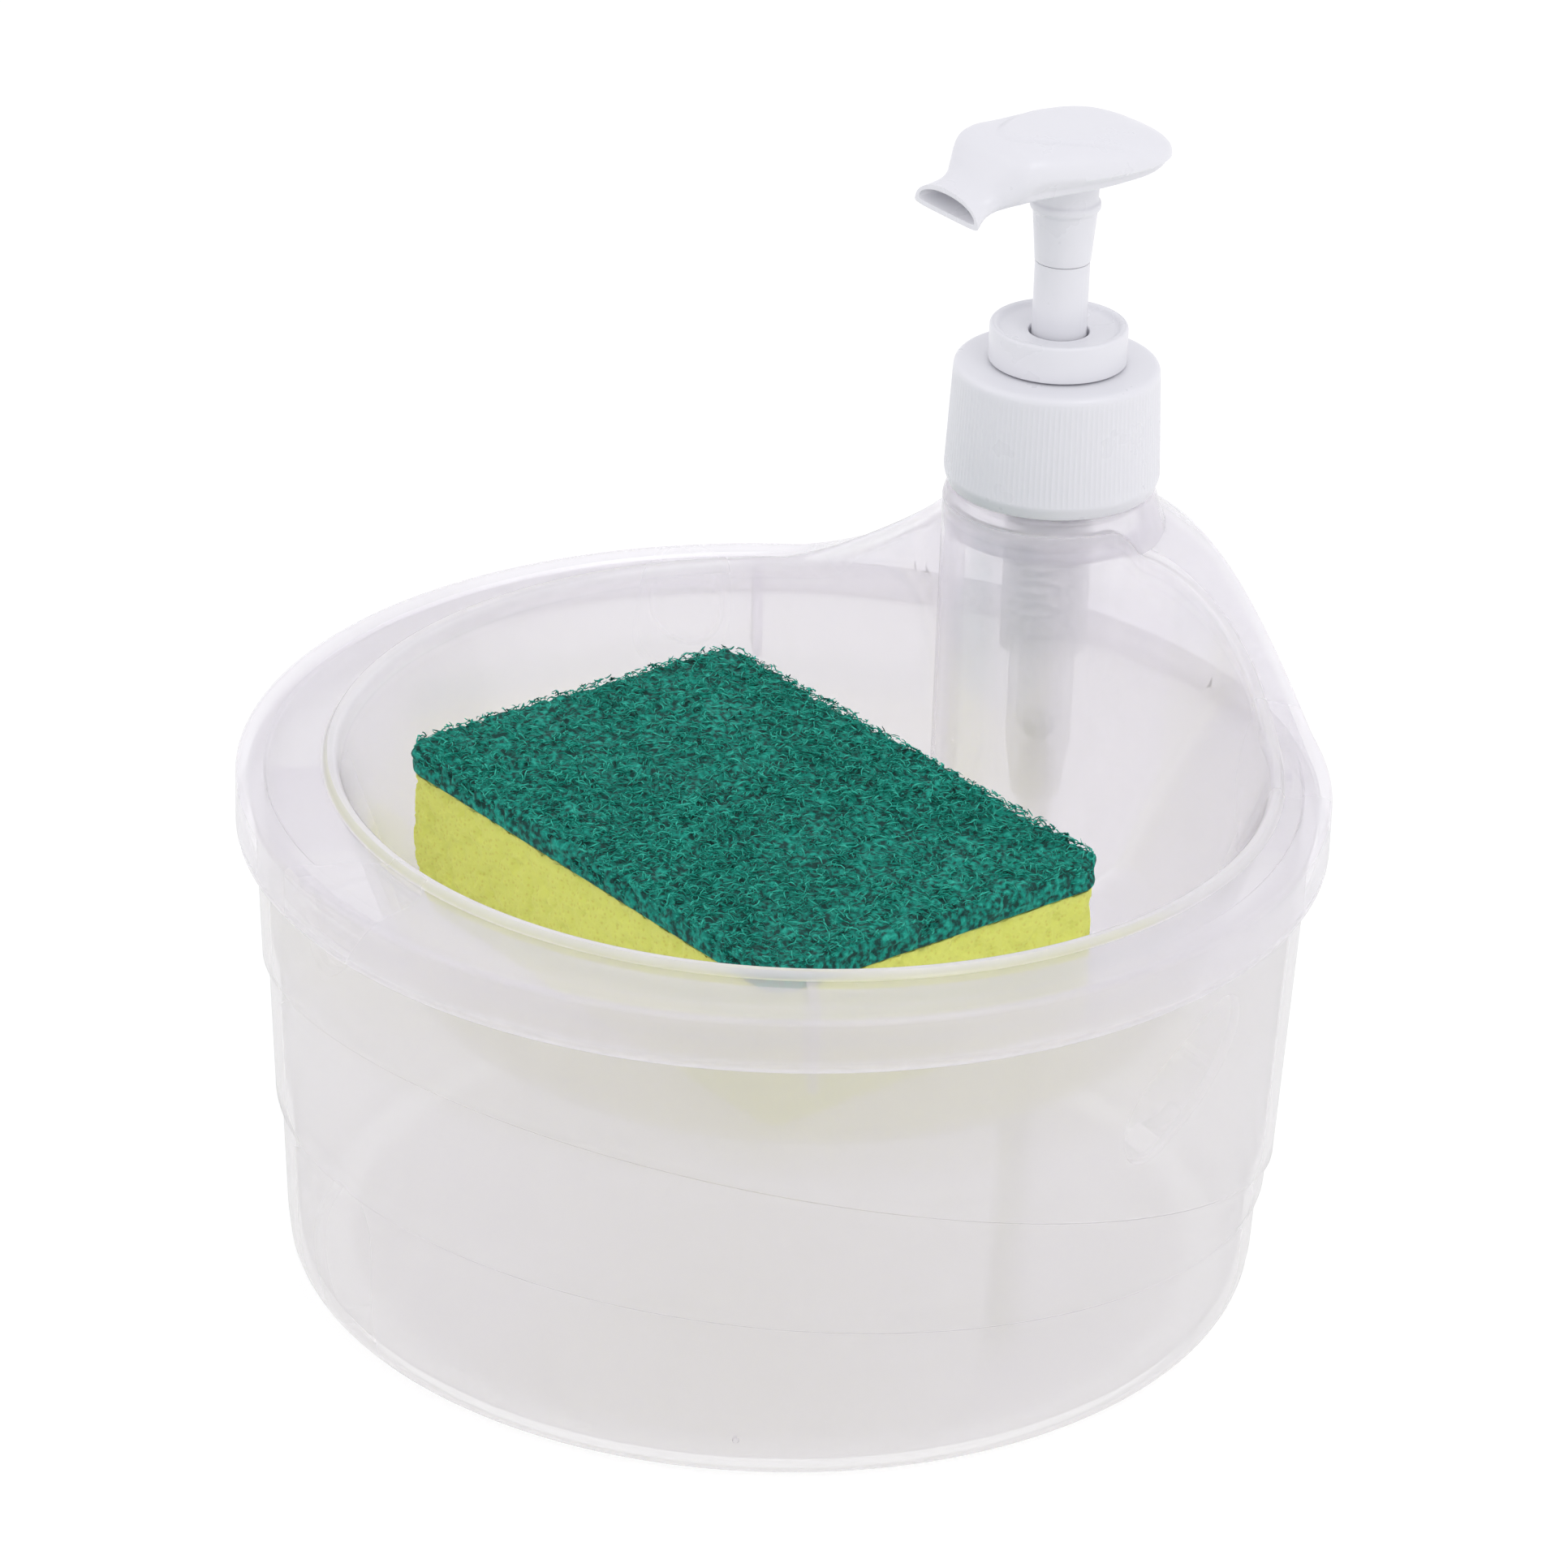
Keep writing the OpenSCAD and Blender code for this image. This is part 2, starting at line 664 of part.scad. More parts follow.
// The housing: a flange on the neck, a snout, a barrel, a valve chamber and a tube socket.
module pump_housing() {
  wide_r = snout_bore_r + barrel_wall;
  wide_z = flange_z - snout_deep - barrel_wall;
  color([0.9, 0.9, 0.92])
    translate([0, pump_back, 0])
      rotate_extrude()
        difference() {
          polygon([[0, socket_z], [tube_r + barrel_wall, socket_z], [chamber_r, chamber_z],
                   [chamber_r, barrel_z], [barrel_r, barrel_z], [barrel_r, wide_z],
                   [wide_r, wide_z + barrel_wall], [wide_r, flange_z], [flange_r, flange_z],
                   [flange_r, flange_top], [snout_r, flange_top],
                   [snout_r, snout_top], [0, snout_top]]);
          polygon([[0, socket_z - over], [tube_r + tube_gap, socket_z - over],
                   [tube_r + tube_gap, tube_top], [seat_hole_r, tube_top],
                   [seat_hole_r, chamber_z], [chamber_bore_r, chamber_z + ball_r],
                   [chamber_bore_r, barrel_z + barrel_wall],
                   [barrel_bore_r, barrel_z + barrel_wall],
                   [barrel_bore_r, flange_z - snout_deep],
                   [snout_bore_r, flange_z - snout_deep],
                   [snout_bore_r, snout_top + over], [0, snout_top + over]]);
        }
}

// The ball that closes the bottom of the barrel.
module inlet_ball() {
  color([0.7, 0.72, 0.75])
    translate([0, pump_back, ball_z])
      sphere(ball_r);
}

// The dip tube: down from its socket, then forward under the bowl to the tub's floor.
module dip_tube() {
  color([0.92, 0.92, 0.9, 0.6])
    translate([0, pump_back, tube_turn_z])
      rotate([0, 0, tube_turn - 90])
        difference() {
          tube_path(tube_r, 0);
          tube_path(tube_bore_r, tube_r);
        }
}

// The tube's course as a solid of radius r: straight, bent, straight. The bend is a hair
// thinner and laps into both straight parts, whose far ends run on by more.
module tube_path(r, more) {
  cylinder(h = tube_top - seat_gap - tube_turn_z + more, r = r);
  translate([tube_bend_r, 0, 0])
    rotate([-90, 0, 180])
      rotate([0, 0, -lap_turn])
        rotate_extrude(angle = tube_bend + 2 * lap_turn)
          translate([tube_bend_r, 0])
            circle(r - seat_gap);
  translate([tube_bend_r * (1 - cos(tube_bend)), 0, -tube_bend_r * sin(tube_bend)])
    rotate([0, 180 - tube_bend, 0])
      cylinder(h = tube_end + more, r = r);
}

// The spring under the piston: one unbroken wire with a closed coil at each end.
module pump_spring() {
  rings_per_coil = 12;
  wire_sides = 6;
  count = coils * rings_per_coil;
  room = spring_high - spring_low;
  dead = wire * 1.05;
  lift = function (t)
    t < 1 ? dead * t
    : t > coils - 1 ? room - dead * (coils - t)
    : dead + (room - 2 * dead) * (t - 1) / (coils - 2);
  points = [for (i = [0:count])
             let (t = i / rings_per_coil, a = 360 * t, z = spring_low + lift(t))
             for (j = [0:wire_sides - 1])
               let (b = 360 * j / wire_sides, r = spring_r + wire / 2 * cos(b))
               [r * cos(a), r * sin(a), z + wire / 2 * sin(b)]];
  sides = [for (i = [0:count - 1], j = [0:wire_sides - 1])
            let (a = wire_sides * i + j, b = wire_sides * i + (j + 1) % wire_sides)
            each [[a, b + wire_sides, b], [a, a + wire_sides, b + wire_sides]]];
  ends = [[for (j = [0:wire_sides - 1]) j],
          [for (j = [wire_sides - 1:-1:0]) wire_sides * count + j]];
  echo(least_gap_between_coils = (room - 2 * dead) / (coils - 2) - wire);
  color([0.75, 0.76, 0.78])
    translate([0, pump_back, 0])
      polyhedron(points = points, faces = concat(sides, ends), convexity = 8);
}

// The piston: a cup with a thin lip above and below.
module piston() {
  lip = piston_h / 4;
  waist_r = barrel_bore_r - 4 * piston_gap;
  rim_r = barrel_bore_r - piston_gap;
  color([0.9, 0.9, 0.9])
    translate([0, pump_back, piston_z])
      rotate_extrude()
        difference() {
          polygon([[0, 0], [rim_r, 0], [rim_r, lip], [waist_r, lip + piston_gap],
                   [waist_r, piston_h - lip - piston_gap], [rim_r, piston_h - lip],
                   [rim_r, piston_h], [0, piston_h]]);
          square([stem_bore_r, piston_h]);
          translate([0, piston_h - foot_h - seat_gap])
            square([foot_r + press_gap, piston_h]);
        }
}

// The hollow stem between the piston and the head, with the outlet ball's seat in its top.
module stem() {
  color([0.95, 0.95, 0.96])
    translate([0, pump_back, 0])
      rotate_extrude()
        difference() {
          polygon([[0, stem_foot - foot_h], [foot_r, stem_foot - foot_h], [foot_r, stem_foot],
                   [stem_r, stem_foot], [stem_r, stem_top], [spigot_r, stem_top],
                   [spigot_r, stem_top + spigot_h], [0, stem_top + spigot_h]]);
          translate([0, stem_foot - foot_h - over])
            square([stem_bore_r, stem_top + spigot_h]);
          translate([0, outlet_seat])
            square([outlet_r + stem_gap, spigot_h]);
        }
}

// The ball on the seat in the stem's top.
module outlet_ball() {
  color([0.7, 0.72, 0.75])
    translate([0, pump_back, outlet_z])
      sphere(outlet_r, $fn = fine);
}

// One level of the thumb pad, drawn in by inset at height z.
module pad_level(z, inset) {
  back_r = pad_half - inset;
  front_r = 0.78 * pad_half - inset;
  translate([0, pad_back - pad_half, z])
    cylinder(h = seat_gap, r = back_r, $fn = fine);
  translate([0, 0.78 * pad_half - pad_front, z])
    cylinder(h = seat_gap, r = front_r, $fn = fine);
}

// One cross section of the spout at y, from height low to high and half_w wide.
module spout_slice(y, low, high, half_w) {
  round_r = min(half_w, high - low) / 2;
  for (side = [-1, 1])
    translate([side * (half_w - round_r), y, high - round_r])
      rotate([90, 0, 0])
        cylinder(h = seat_gap, r = round_r, $fn = fine / 2);
  translate([-half_w, y - seat_gap, low])
    cube([2 * half_w, seat_gap, (high - low) / 2]);
}

// The head: thumb pad, spout and a sleeve over the stem.
module pump_head() {
  root_y = -pad_front / 2;
  brow_y = pad_edge / 2 - pad_front;
  brow_top = head_top - pad_thick / 4;
  color([0.96, 0.96, 0.97])
    translate([0, pump_back, 0])
      rotate([0, 0, -head_turn])
      difference() {
        union() {
          hull() {
            pad_level(head_z, pad_edge);
            pad_level(head_z + pad_edge, 0);
          }
          hull() {
            pad_level(head_z + pad_edge, 0);
            pad_level(head_top - pad_edge, pad_edge / 6);
            pad_level(head_top, 1.6 * pad_edge);
          }
          hull() {
            spout_slice(root_y, head_z, brow_top, spout_half);
            spout_slice(brow_y, head_z, brow_top, spout_half);
            spout_slice(brow_y - pad_edge, head_z - mouth_drop / 3, head_z + pad_thick / 2,
                        spout_half);
          }
          hull() {
            spout_slice(brow_y, head_z - mouth_drop / 3, head_z + pad_thick / 2, spout_half);
            spout_slice(-spout_reach, mouth_z, mouth_z + mouth_h, mouth_half);
          }
          translate([0, 0, sleeve_z]) {
            cylinder(h = sleeve_h, r1 = stem_r, r2 = sleeve_r);
            translate([0, 0, sleeve_h - seat_gap])
              cylinder(h = head_lift + pad_thick / 2, r = sleeve_r);
            translate([0, 0, sleeve_h - wire])
              cylinder(h = 2 * wire, r = sleeve_ring_r);
          }
        }
        // The socket for the stem and the passage to the spout.
        translate([0, 0, sleeve_z - over])
          cylinder(h = spigot_h + over + seat_gap, r = spigot_r + press_gap);
        translate([0, 0, sleeve_z])
          cylinder(h = head_z + pad_thick / 2 - sleeve_z, r = stem_bore_r);
        translate([0, 0, head_z + pad_thick / 2 - stem_bore_r])
          rotate([90, 0, 0])
            cylinder(h = -brow_y, r = stem_bore_r);
        // The hollow under the spout, open at the mouth.
        hull() {
          spout_slice(brow_y, mouth_z - over, head_z + pad_thick / 2 - spout_wall,
                      spout_half - spout_wall);
          spout_slice(-spout_reach - spout_wall, mouth_z - over,
                      mouth_z + mouth_h - spout_wall, mouth_half - spout_wall);
        }
      }
}

// The sponge's outline in the bowl.
module sponge_outline() {
  corner = sponge_round;
  translate([-sponge_left, bowl_back - sponge_ahead])
    rotate(-sponge_turn)
      union() {
        square([sponge_l - 2 * corner, sponge_w], center = true);
        square([sponge_l, sponge_w - 2 * corner], center = true);
        for (i = [-1, 1], j = [-1, 1])
          translate([i * (sponge_l / 2 - corner), j * (sponge_w / 2 - corner)])
            circle(corner);
      }
}

// The yellow foam: it stands on the bowl's floor, and the bowl's wall presses in its lower edge.
module sponge_foam() {
  color([0.84, 0.84, 0.42])
    intersection() {
      translate([0, 0, floor_z])
        linear_extrude(scour_z - floor_z)
          sponge_outline();
      bowl_form(-sponge_gap, crest_z);
    }
}

// The green scouring pad glued on the foam.
module scouring_pad() {
  color([0.12, 0.46, 0.41])
    translate([0, 0, scour_z])
      linear_extrude(scour_thick)
        sponge_outline();
}

tub();
lid();
neck_gasket();
collar();
lock_ring();
pump_housing();
inlet_ball();
dip_tube();
pump_spring();
piston();
stem();
outlet_ball();
pump_head();
sponge_foam();
scouring_pad();
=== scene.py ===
"""Looks of a soap pump caddy: a frosted tub and lid, a lotion pump and a sponge in its bowl.

Every size is in millimetres until a mesh is made, which turns it to metres. The frame is the
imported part's own: z is up from the table, the tub's axis is x = 0, y = 0, and the pump stands
on the +y side with its spout over the bowl.
"""

import logging
import math
from dataclasses import dataclass, field
from enum import Enum

import bpy
import numpy as np
from mathutils import Matrix, Vector


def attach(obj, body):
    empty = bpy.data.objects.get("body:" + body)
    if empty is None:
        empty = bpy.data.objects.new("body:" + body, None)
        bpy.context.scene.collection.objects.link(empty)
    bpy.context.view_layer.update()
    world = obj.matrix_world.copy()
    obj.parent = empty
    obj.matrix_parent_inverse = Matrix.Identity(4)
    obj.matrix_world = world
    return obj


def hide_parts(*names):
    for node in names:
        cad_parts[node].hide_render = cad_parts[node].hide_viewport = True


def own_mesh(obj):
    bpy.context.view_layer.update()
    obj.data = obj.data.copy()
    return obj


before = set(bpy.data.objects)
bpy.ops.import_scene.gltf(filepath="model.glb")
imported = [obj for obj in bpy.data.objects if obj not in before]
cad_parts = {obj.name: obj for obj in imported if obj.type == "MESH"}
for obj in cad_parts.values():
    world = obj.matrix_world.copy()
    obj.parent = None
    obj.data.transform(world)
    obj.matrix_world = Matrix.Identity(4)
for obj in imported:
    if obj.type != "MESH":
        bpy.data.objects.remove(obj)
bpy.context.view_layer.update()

# Metres in a millimetre, and how strongly clear polypropylene bends light.
MM = 0.001
PLASTIC_IOR = 1.49
# A mesh's own number at each point: how thick a moulding looks, how light a fibre is, and on the
# pad's body the painted shade between its tufts.
TINT = "tint"
log = logging.getLogger("soap_pump_caddy")

Array = np.ndarray
Piece = bpy.types.Object
Material = bpy.types.Material
Socket = bpy.types.NodeSocket


class Slot(Enum):
    """The record's material slots, one named with each new piece."""

    CLEAR = "translucent_plastic"
    WHITE = "white_plastic"
    SPRING = "spring_steel"
    FOAM = "yellow_foam"
    SCOUR = "green_scour"


class Facing(Enum):
    """Which way a screw thread stands on its wall."""

    OUTWARD = 1
    INWARD = -1


# Shapes as whole arrays


def smooth(t: Array) -> Array:
    """A smooth step: 3 t squared less 2 t cubed, with t held between 0 and 1."""
    t = np.clip(t, 0.0, 1.0)
    return t * t * (3.0 - 2.0 * t)


def curve(knots: tuple[tuple[float, float], ...], at: Array) -> Array:
    """A smooth curve through knots: cubic pieces whose slopes are the knots' own gradients.

    Args:
        knots: rows of place and value, in rising order of place.
        at: places to work the curve out at.

    Returns:
        The values at those places.
    """
    xs, ys = np.array(knots).T
    slope = np.gradient(ys, xs)
    i = np.clip(np.searchsorted(xs, at) - 1, 0, len(xs) - 2)
    width = xs[i + 1] - xs[i]
    t = np.clip((at - xs[i]) / width, 0.0, 1.0)
    return (ys[i] * (1 + 2 * t) * (1 - t) ** 2 + ys[i + 1] * t * t * (3 - 2 * t)
            + width * (slope[i] * t * (1 - t) ** 2 - slope[i + 1] * t * t * (1 - t)))


def lattice_noise(points: Array, cell: float, seed: int) -> Array:
    """Smooth noise from 0 to 1: each corner of a cubic lattice has a fixed random number, and a
    point mixes the eight round it with smooth steps.

    Args:
        points: an array whose last axis is x, y, z in millimetres.
        cell: side of the lattice's cubes in millimetres.
        seed: which of many such noises.

    Returns:
        The noise at each point.
    """
    place = points / cell
    base = np.floor(place).astype(np.int64)
    mix = smooth(place - base)
    primes, top = np.array([73856093, 19349663, 83492791]), 0x7FFFFFFF
    total = np.zeros(points.shape[:-1])
    for corner in np.array(list(np.ndindex(2, 2, 2))):
        code = np.bitwise_xor.reduce((base + corner) * primes, axis=-1)
        code = (code ^ (seed * 2654435761)) & top
        code = (code * 1103515245 + 12345) & top
        code = ((code >> 7) ^ code) * 69069 & top
        total += np.prod(np.where(corner == 1, mix, 1.0 - mix), axis=-1) * (code / top)
    return total


def unit(way: Array) -> Array:
    """Vectors of length one, the same way as those along the last axis."""
    return way / np.linalg.norm(way, axis=-1, keepdims=True)


def rounded(corners: list[tuple[float, float, float]], steps: int = 5) -> Array:
    """A closed outline with rounded corners: each corner becomes an arc like curve that starts
    and ends its cut length away along both sides, (1-t) squared a + 2t(1-t) corner + t squared b.

    Args:
        corners: rows of radius, height and cut length.
        steps: points on each corner.

    Returns:
        Rows of radius and height.
    """
    rows = np.array(corners)
    here, cut = rows[:, :2], rows[:, 2:3]
    start = here + unit(np.roll(here, 1, axis=0) - here) * cut
    end = here + unit(np.roll(here, -1, axis=0) - here) * cut
    t = np.linspace(0.0, 1.0, steps)[None, :, None]
    points = ((1 - t) ** 2 * start[:, None] + 2 * t * (1 - t) * here[:, None]
              + t * t * end[:, None])
    return points.reshape(-1, 2)


def refined(outline: Array, longest: float) -> Array:
    """A closed outline with extra points, so that no side is longer than a given length.

    Args:
        outline: rows of radius and height.
        longest: the longest side that may stay.

    Returns:
        The outline with its long sides divided evenly.
    """
    ahead = np.roll(outline, -1, axis=0)
    parts = np.maximum(1, np.ceil(np.linalg.norm(ahead - outline, axis=1) / longest)).astype(int)
    which = np.repeat(np.arange(len(outline)), parts)
    step = np.arange(len(which)) - np.repeat(np.cumsum(parts) - parts, parts)
    share = (step / parts[which])[:, None]
    return outline[which] * (1 - share) + ahead[which] * share


def circle(count: int) -> Array:
    """Evenly spaced angles once round."""
    return np.arange(count) * (2 * math.pi / count)


def raised(plan: Array, height: Array | float) -> Array:
    """Plan points with their heights: x, y and z."""
    shape = plan.shape[:-1] + (1,)
    return np.concatenate([plan, np.broadcast_to(np.asarray(height)[..., None], shape)], axis=-1)


def turned(u: Array, v: Array, turn: float) -> tuple[Array, Array]:
    """Plan places turned anticlockwise: x = u cos a - v sin a, y = u sin a + v cos a."""
    c, s = math.cos(turn), math.sin(turn)
    return u * c - v * s, u * s + v * c


def around(radius: Array, turn: Array, height: Array, centre_y: float = 0.0) -> Array:
    """Points about an upright axis: x = r cos a, y = centre + r sin a."""
    return np.stack(np.broadcast_arrays(radius * np.cos(turn), centre_y + radius * np.sin(turn),
                                        height), axis=-1)


def revolved(outline: Array, columns: int, centre_y: float = 0.0) -> Array:
    """An outline carried round an upright axis.

    Args:
        outline: rows of radius and height.
        columns: places round the axis.
        centre_y: the axis's y.

    Returns:
        A grid of points, one row for each point of the outline.
    """
    return around(outline[:, 0:1], circle(columns), outline[:, 1:2], centre_y)


@dataclass
class Shell:
    """The closed surfaces of one piece, gathered as grids and turned into a mesh at the end."""

    points: list[Array] = field(default_factory=list)
    faces: list[Array] = field(default_factory=list)
    tints: list[Array] = field(default_factory=list)
    count: int = 0

    def add(self, points: Array) -> Array:
        """Adds points and numbers them.

        Args:
            points: an array whose last axis is x, y, z in millimetres.

        Returns:
            The points' numbers, in the array's own shape.
        """
        numbers = self.count + np.arange(points[..., 0].size).reshape(points.shape[:-1])
        self.points.append(points.reshape(-1, 3))
        self.count += numbers.size
        return numbers

    @staticmethod
    def quads(numbers: Array, wrap_rows: bool = False, wrap_columns: bool = True) -> Array:
        """The four sided faces of a grid, or of many grids at once.

        Args:
            numbers: point numbers whose last two axes are rows and columns.
            wrap_rows: whether the last row meets the first.
            wrap_columns: whether the last column meets the first.

        Returns:
            A grid of faces, one for each cell.
        """
        grid = numbers
        if wrap_rows:
            grid = np.concatenate([grid, grid[..., :1, :]], axis=-2)
        if wrap_columns:
            grid = np.concatenate([grid, grid[..., :1]], axis=-1)
        return np.stack([grid[..., :-1, :-1], grid[..., :-1, 1:], grid[..., 1:, 1:],
                         grid[..., 1:, :-1]], axis=-1)

    @staticmethod
    def fan(row: Array, pole: int, flip: bool) -> Array:
        """Triangles from a closed row of points to one pole.

        Args:
            row: point numbers round the pole.
            pole: the pole's number.
            flip: whether the faces turn the other way round.

        Returns:
            One triangle for each side of the row.
        """
        ahead = np.roll(row, -1)
        pair = (ahead, row) if flip else (row, ahead)
        return np.stack([pair[0], pair[1], np.full_like(row, pole)], axis=-1)

    def close(self, *parts: Array) -> None:
        """Adds the faces of one closed surface, turned outwards by the sign of its volume.

        Args:
            *parts: arrays of faces of three or four corners.
        """
        everything = np.concatenate(self.points)
        flat = [part.reshape(-1, part.shape[-1]) for part in parts if part.size]
        volume = 0.0
        for part in flat:
            corner = everything[part]
            for k in range(1, part.shape[1] - 1):
                volume += np.einsum("ij,ij->", corner[:, 0],
                                    np.cross(corner[:, k], corner[:, k + 1]))
        self.faces += [part if volume > 0 else part[:, ::-1] for part in flat]

    def torus(self, points: Array) -> None:
        """Adds a grid that closes on itself both ways, such as a turned ring."""
        self.close(self.quads(self.add(points), wrap_rows=True))

    def capped(self, points: Array) -> None:
        """Adds a grid whose first and last rows each close on a pole at their middle."""
        numbers = self.add(points)
        first = self.add(points[0].mean(axis=0)[None])[0]
        last = self.add(points[-1].mean(axis=0)[None])[0]
        self.close(self.quads(numbers), self.fan(numbers[0], first, True),
                   self.fan(numbers[-1], last, False))

    def object(self, name: str, sharp: float = 40.0) -> Piece:
        """Makes the Blender object.

        Args:
            name: the object's name.
            sharp: sides that meet at more than this many degrees keep a crisp edge.

        Returns:
            The new object, at the origin, in metres.
        """
        everything = np.concatenate(self.points)
        corners = np.concatenate([part.ravel() for part in self.faces]).astype(np.int32)
        sizes = np.concatenate([np.full(len(part), part.shape[1]) for part in self.faces])
        mesh = bpy.data.meshes.new(name)
        mesh.vertices.add(len(everything))
        mesh.vertices.foreach_set("co", (everything * MM).astype(np.float32).ravel())
        mesh.loops.add(len(corners))
        mesh.loops.foreach_set("vertex_index", corners)
        mesh.polygons.add(len(sizes))
        mesh.polygons.foreach_set("loop_start", (np.cumsum(sizes) - sizes).astype(np.int32))
        mesh.update(calc_edges=True)
        mesh.validate()
        mesh.shade_smooth()
        if sharp < 180.0:
            mesh.set_sharp_from_angle(angle=math.radians(sharp))
        if self.tints:
            tint = mesh.attributes.new(TINT, "FLOAT", "POINT")
            values = np.zeros(len(everything), np.float32)
            known = np.concatenate(self.tints)
            values[:len(known)] = known
            tint.data.foreach_set("value", values)
        made = bpy.data.objects.new(name, mesh)
        bpy.context.scene.collection.objects.link(made)
        return made


@dataclass(frozen=True)
class Thread:
    """The closure's screw thread: a four cornered section carried along a rising helix."""

    pitch: float = 3.2
    deep: float = 1.0
    foot: float = 1.2
    crest: float = 0.7
    per_turn: int = 48

    def ridge(self, shell: Shell, wall_r: float, low: float, turns: float, facing: Facing,
              centre_y: float) -> None:
        """Adds the thread to a wall, into which it runs out over a quarter turn at each end.

        Args:
            shell: the piece that gets the thread.
            wall_r: radius of the wall that carries it.
            low: height at which it starts.
            turns: number of turns.
            facing: whether it stands out of or into the wall.
            centre_y: the axis's y.
        """
        count = math.ceil(turns * self.per_turn)
        step = np.arange(count + 1)[:, None]
        full = np.clip(np.minimum(step, count - step) / (self.per_turn / 4), 0.0, 1.0)
        side = facing.value
        tip = wall_r + side * (self.deep * full - self.deep / 8 * (1 - full))
        root = np.full_like(tip, wall_r - side * self.deep / 4)
        radius = np.concatenate([root, tip, tip, root], axis=1)
        rise = np.array([-self.foot, -self.crest, self.crest, self.foot]) / 2
        height = low + self.pitch * step / self.per_turn + rise
        shell.capped(around(radius, step * (2 * math.pi / self.per_turn), height, centre_y))


# Finishes


def linear(code: str) -> tuple[float, float, float, float]:
    """Turns an sRGB hex colour such as "#E8E8EE" into Blender's linear numbers."""
    shares = [int(code[i:i + 2], 16) / 255.0 for i in (1, 3, 5)]
    return tuple(s / 12.92 if s <= 0.04045 else ((s + 0.055) / 1.055) ** 2.4
                 for s in shares) + (1.0,)


def add_node(tree: bpy.types.NodeTree, kind: str, settings: dict | None = None,
             links: dict | None = None) -> bpy.types.Node:
    """Adds one node with its settings and links.

    Args:
        tree: the node tree.
        kind: the node's type name.
        settings: values by socket name or number, or by property name.
        links: sockets that feed this node, by its socket name or number.

    Returns:
        The node.
    """
    node = tree.nodes.new(kind)
    for key, value in (settings or {}).items():
        if isinstance(key, int) or key in node.inputs:
            node.inputs[key].default_value = value
        else:
            setattr(node, key, value)
    for key, socket in (links or {}).items():
        tree.links.new(socket, node.inputs[key])
    return node


@dataclass(frozen=True)
class Draft:
    """A material in the making: its tree, its shader and the object's coordinates in metres."""

    tree: bpy.types.NodeTree
    shader: bpy.types.Node
    coord: Socket

    def set(self, **values: float | tuple) -> None:
        """Sets the shader's numbers, named with an underscore for each space."""
        for key, value in values.items():
            self.shader.inputs[key.replace("_", " ")].default_value = value

    def own(self) -> Socket:
        """The mesh's own attribute, a number from 0 to 1 at each point."""
        return add_node(self.tree, "ShaderNodeAttribute", {"attribute_name": TINT}).outputs["Fac"]

    def noise(self, per_metre: float, detail: float) -> Socket:
        """Noise with so many waves to the metre and so many finer layers in it."""
        return add_node(self.tree, "ShaderNodeTexNoise", {"Scale": per_metre, "Detail": detail},
                        {"Vector": self.coord}).outputs["Fac"]

    def scaled(self, factor: Socket, times: float, plus: float) -> Socket:
        """A factor times one number plus another."""
        return add_node(self.tree, "ShaderNodeMath",
                        {"operation": "MULTIPLY_ADD", 1: times, 2: plus},
                        {0: factor}).outputs[0]

    def joined(self, operation: str, first: Socket, second: Socket) -> Socket:
        """Two factors added or multiplied."""
        return add_node(self.tree, "ShaderNodeMath", {"operation": operation},
                        {0: first, 1: second}).outputs[0]

    def mix(self, share: float | Socket, first: bpy.types.Node,
            second: bpy.types.Node) -> bpy.types.Node:
        """Mixes two shaders by a fixed or a changing share of the second."""
        both = {1: first.outputs[0], 2: second.outputs[0]}
        if isinstance(share, float):
            return add_node(self.tree, "ShaderNodeMixShader", {"Fac": share}, both)
        return add_node(self.tree, "ShaderNodeMixShader", {}, {"Fac": share} | both)

    def roughness(self, factor: Socket, low: float, high: float,
                  span: tuple[float, float] = (0.3, 0.7)) -> None:
        """Lets the roughness run from low to high while a factor crosses a span."""
        uneven = add_node(self.tree, "ShaderNodeMapRange",
                          {"From Min": span[0], "From Max": span[1], "To Min": low,
                           "To Max": high}, {"Value": factor})
        self.tree.links.new(uneven.outputs[0], self.shader.inputs["Roughness"])

    def bumps(self, height: Socket, strength: float, deep_mm: float) -> None:
        """Raises the surface by a factor, so many millimetres where it is 1."""
        bump = add_node(self.tree, "ShaderNodeBump",
                        {"Strength": strength, "Distance": deep_mm * MM}, {"Height": height})
        self.tree.links.new(bump.outputs[0], self.shader.inputs["Normal"])

    def colours(self, factor: Socket, *stops: tuple[float, str]) -> None:
        """Lets the base colour run along a factor.

        Args:
            factor: the socket that says how far along.
            *stops: place and sRGB hex colour of each stop, two or more.
        """
        node = add_node(self.tree, "ShaderNodeValToRGB", {}, {"Fac": factor})
        band = node.color_ramp
        while len(band.elements) < len(stops):
            band.elements.new(0.5)
        for element, (place, code) in zip(band.elements, stops):
            element.position, element.color = place, linear(code)
        self.tree.links.new(node.outputs["Color"], self.shader.inputs["Base Color"])


@dataclass(frozen=True)
class Finish:
    """What every finish shares: its name, its base colour and how its material is made."""

    name: str
    colour: str

    def material(self) -> Material:
        """Makes the material: a fresh tree with one shader, and then what the finish adds."""
        material = bpy.data.materials.new(self.name)
        material.use_nodes = True
        material.diffuse_color = linear(self.colour)
        tree = material.node_tree
        tree.nodes.clear()
        shader = add_node(tree, "ShaderNodeBsdfPrincipled", {"Base Color": linear(self.colour)})
        add_node(tree, "ShaderNodeOutputMaterial", {}, {"Surface": shader.outputs[0]})
        coord = add_node(tree, "ShaderNodeTexCoord").outputs["Object"]
        self.paint(Draft(tree, shader, coord))
        return material

    def paint(self, draft: Draft) -> None:
        """Adds what makes the finish; a plain one adds nothing."""


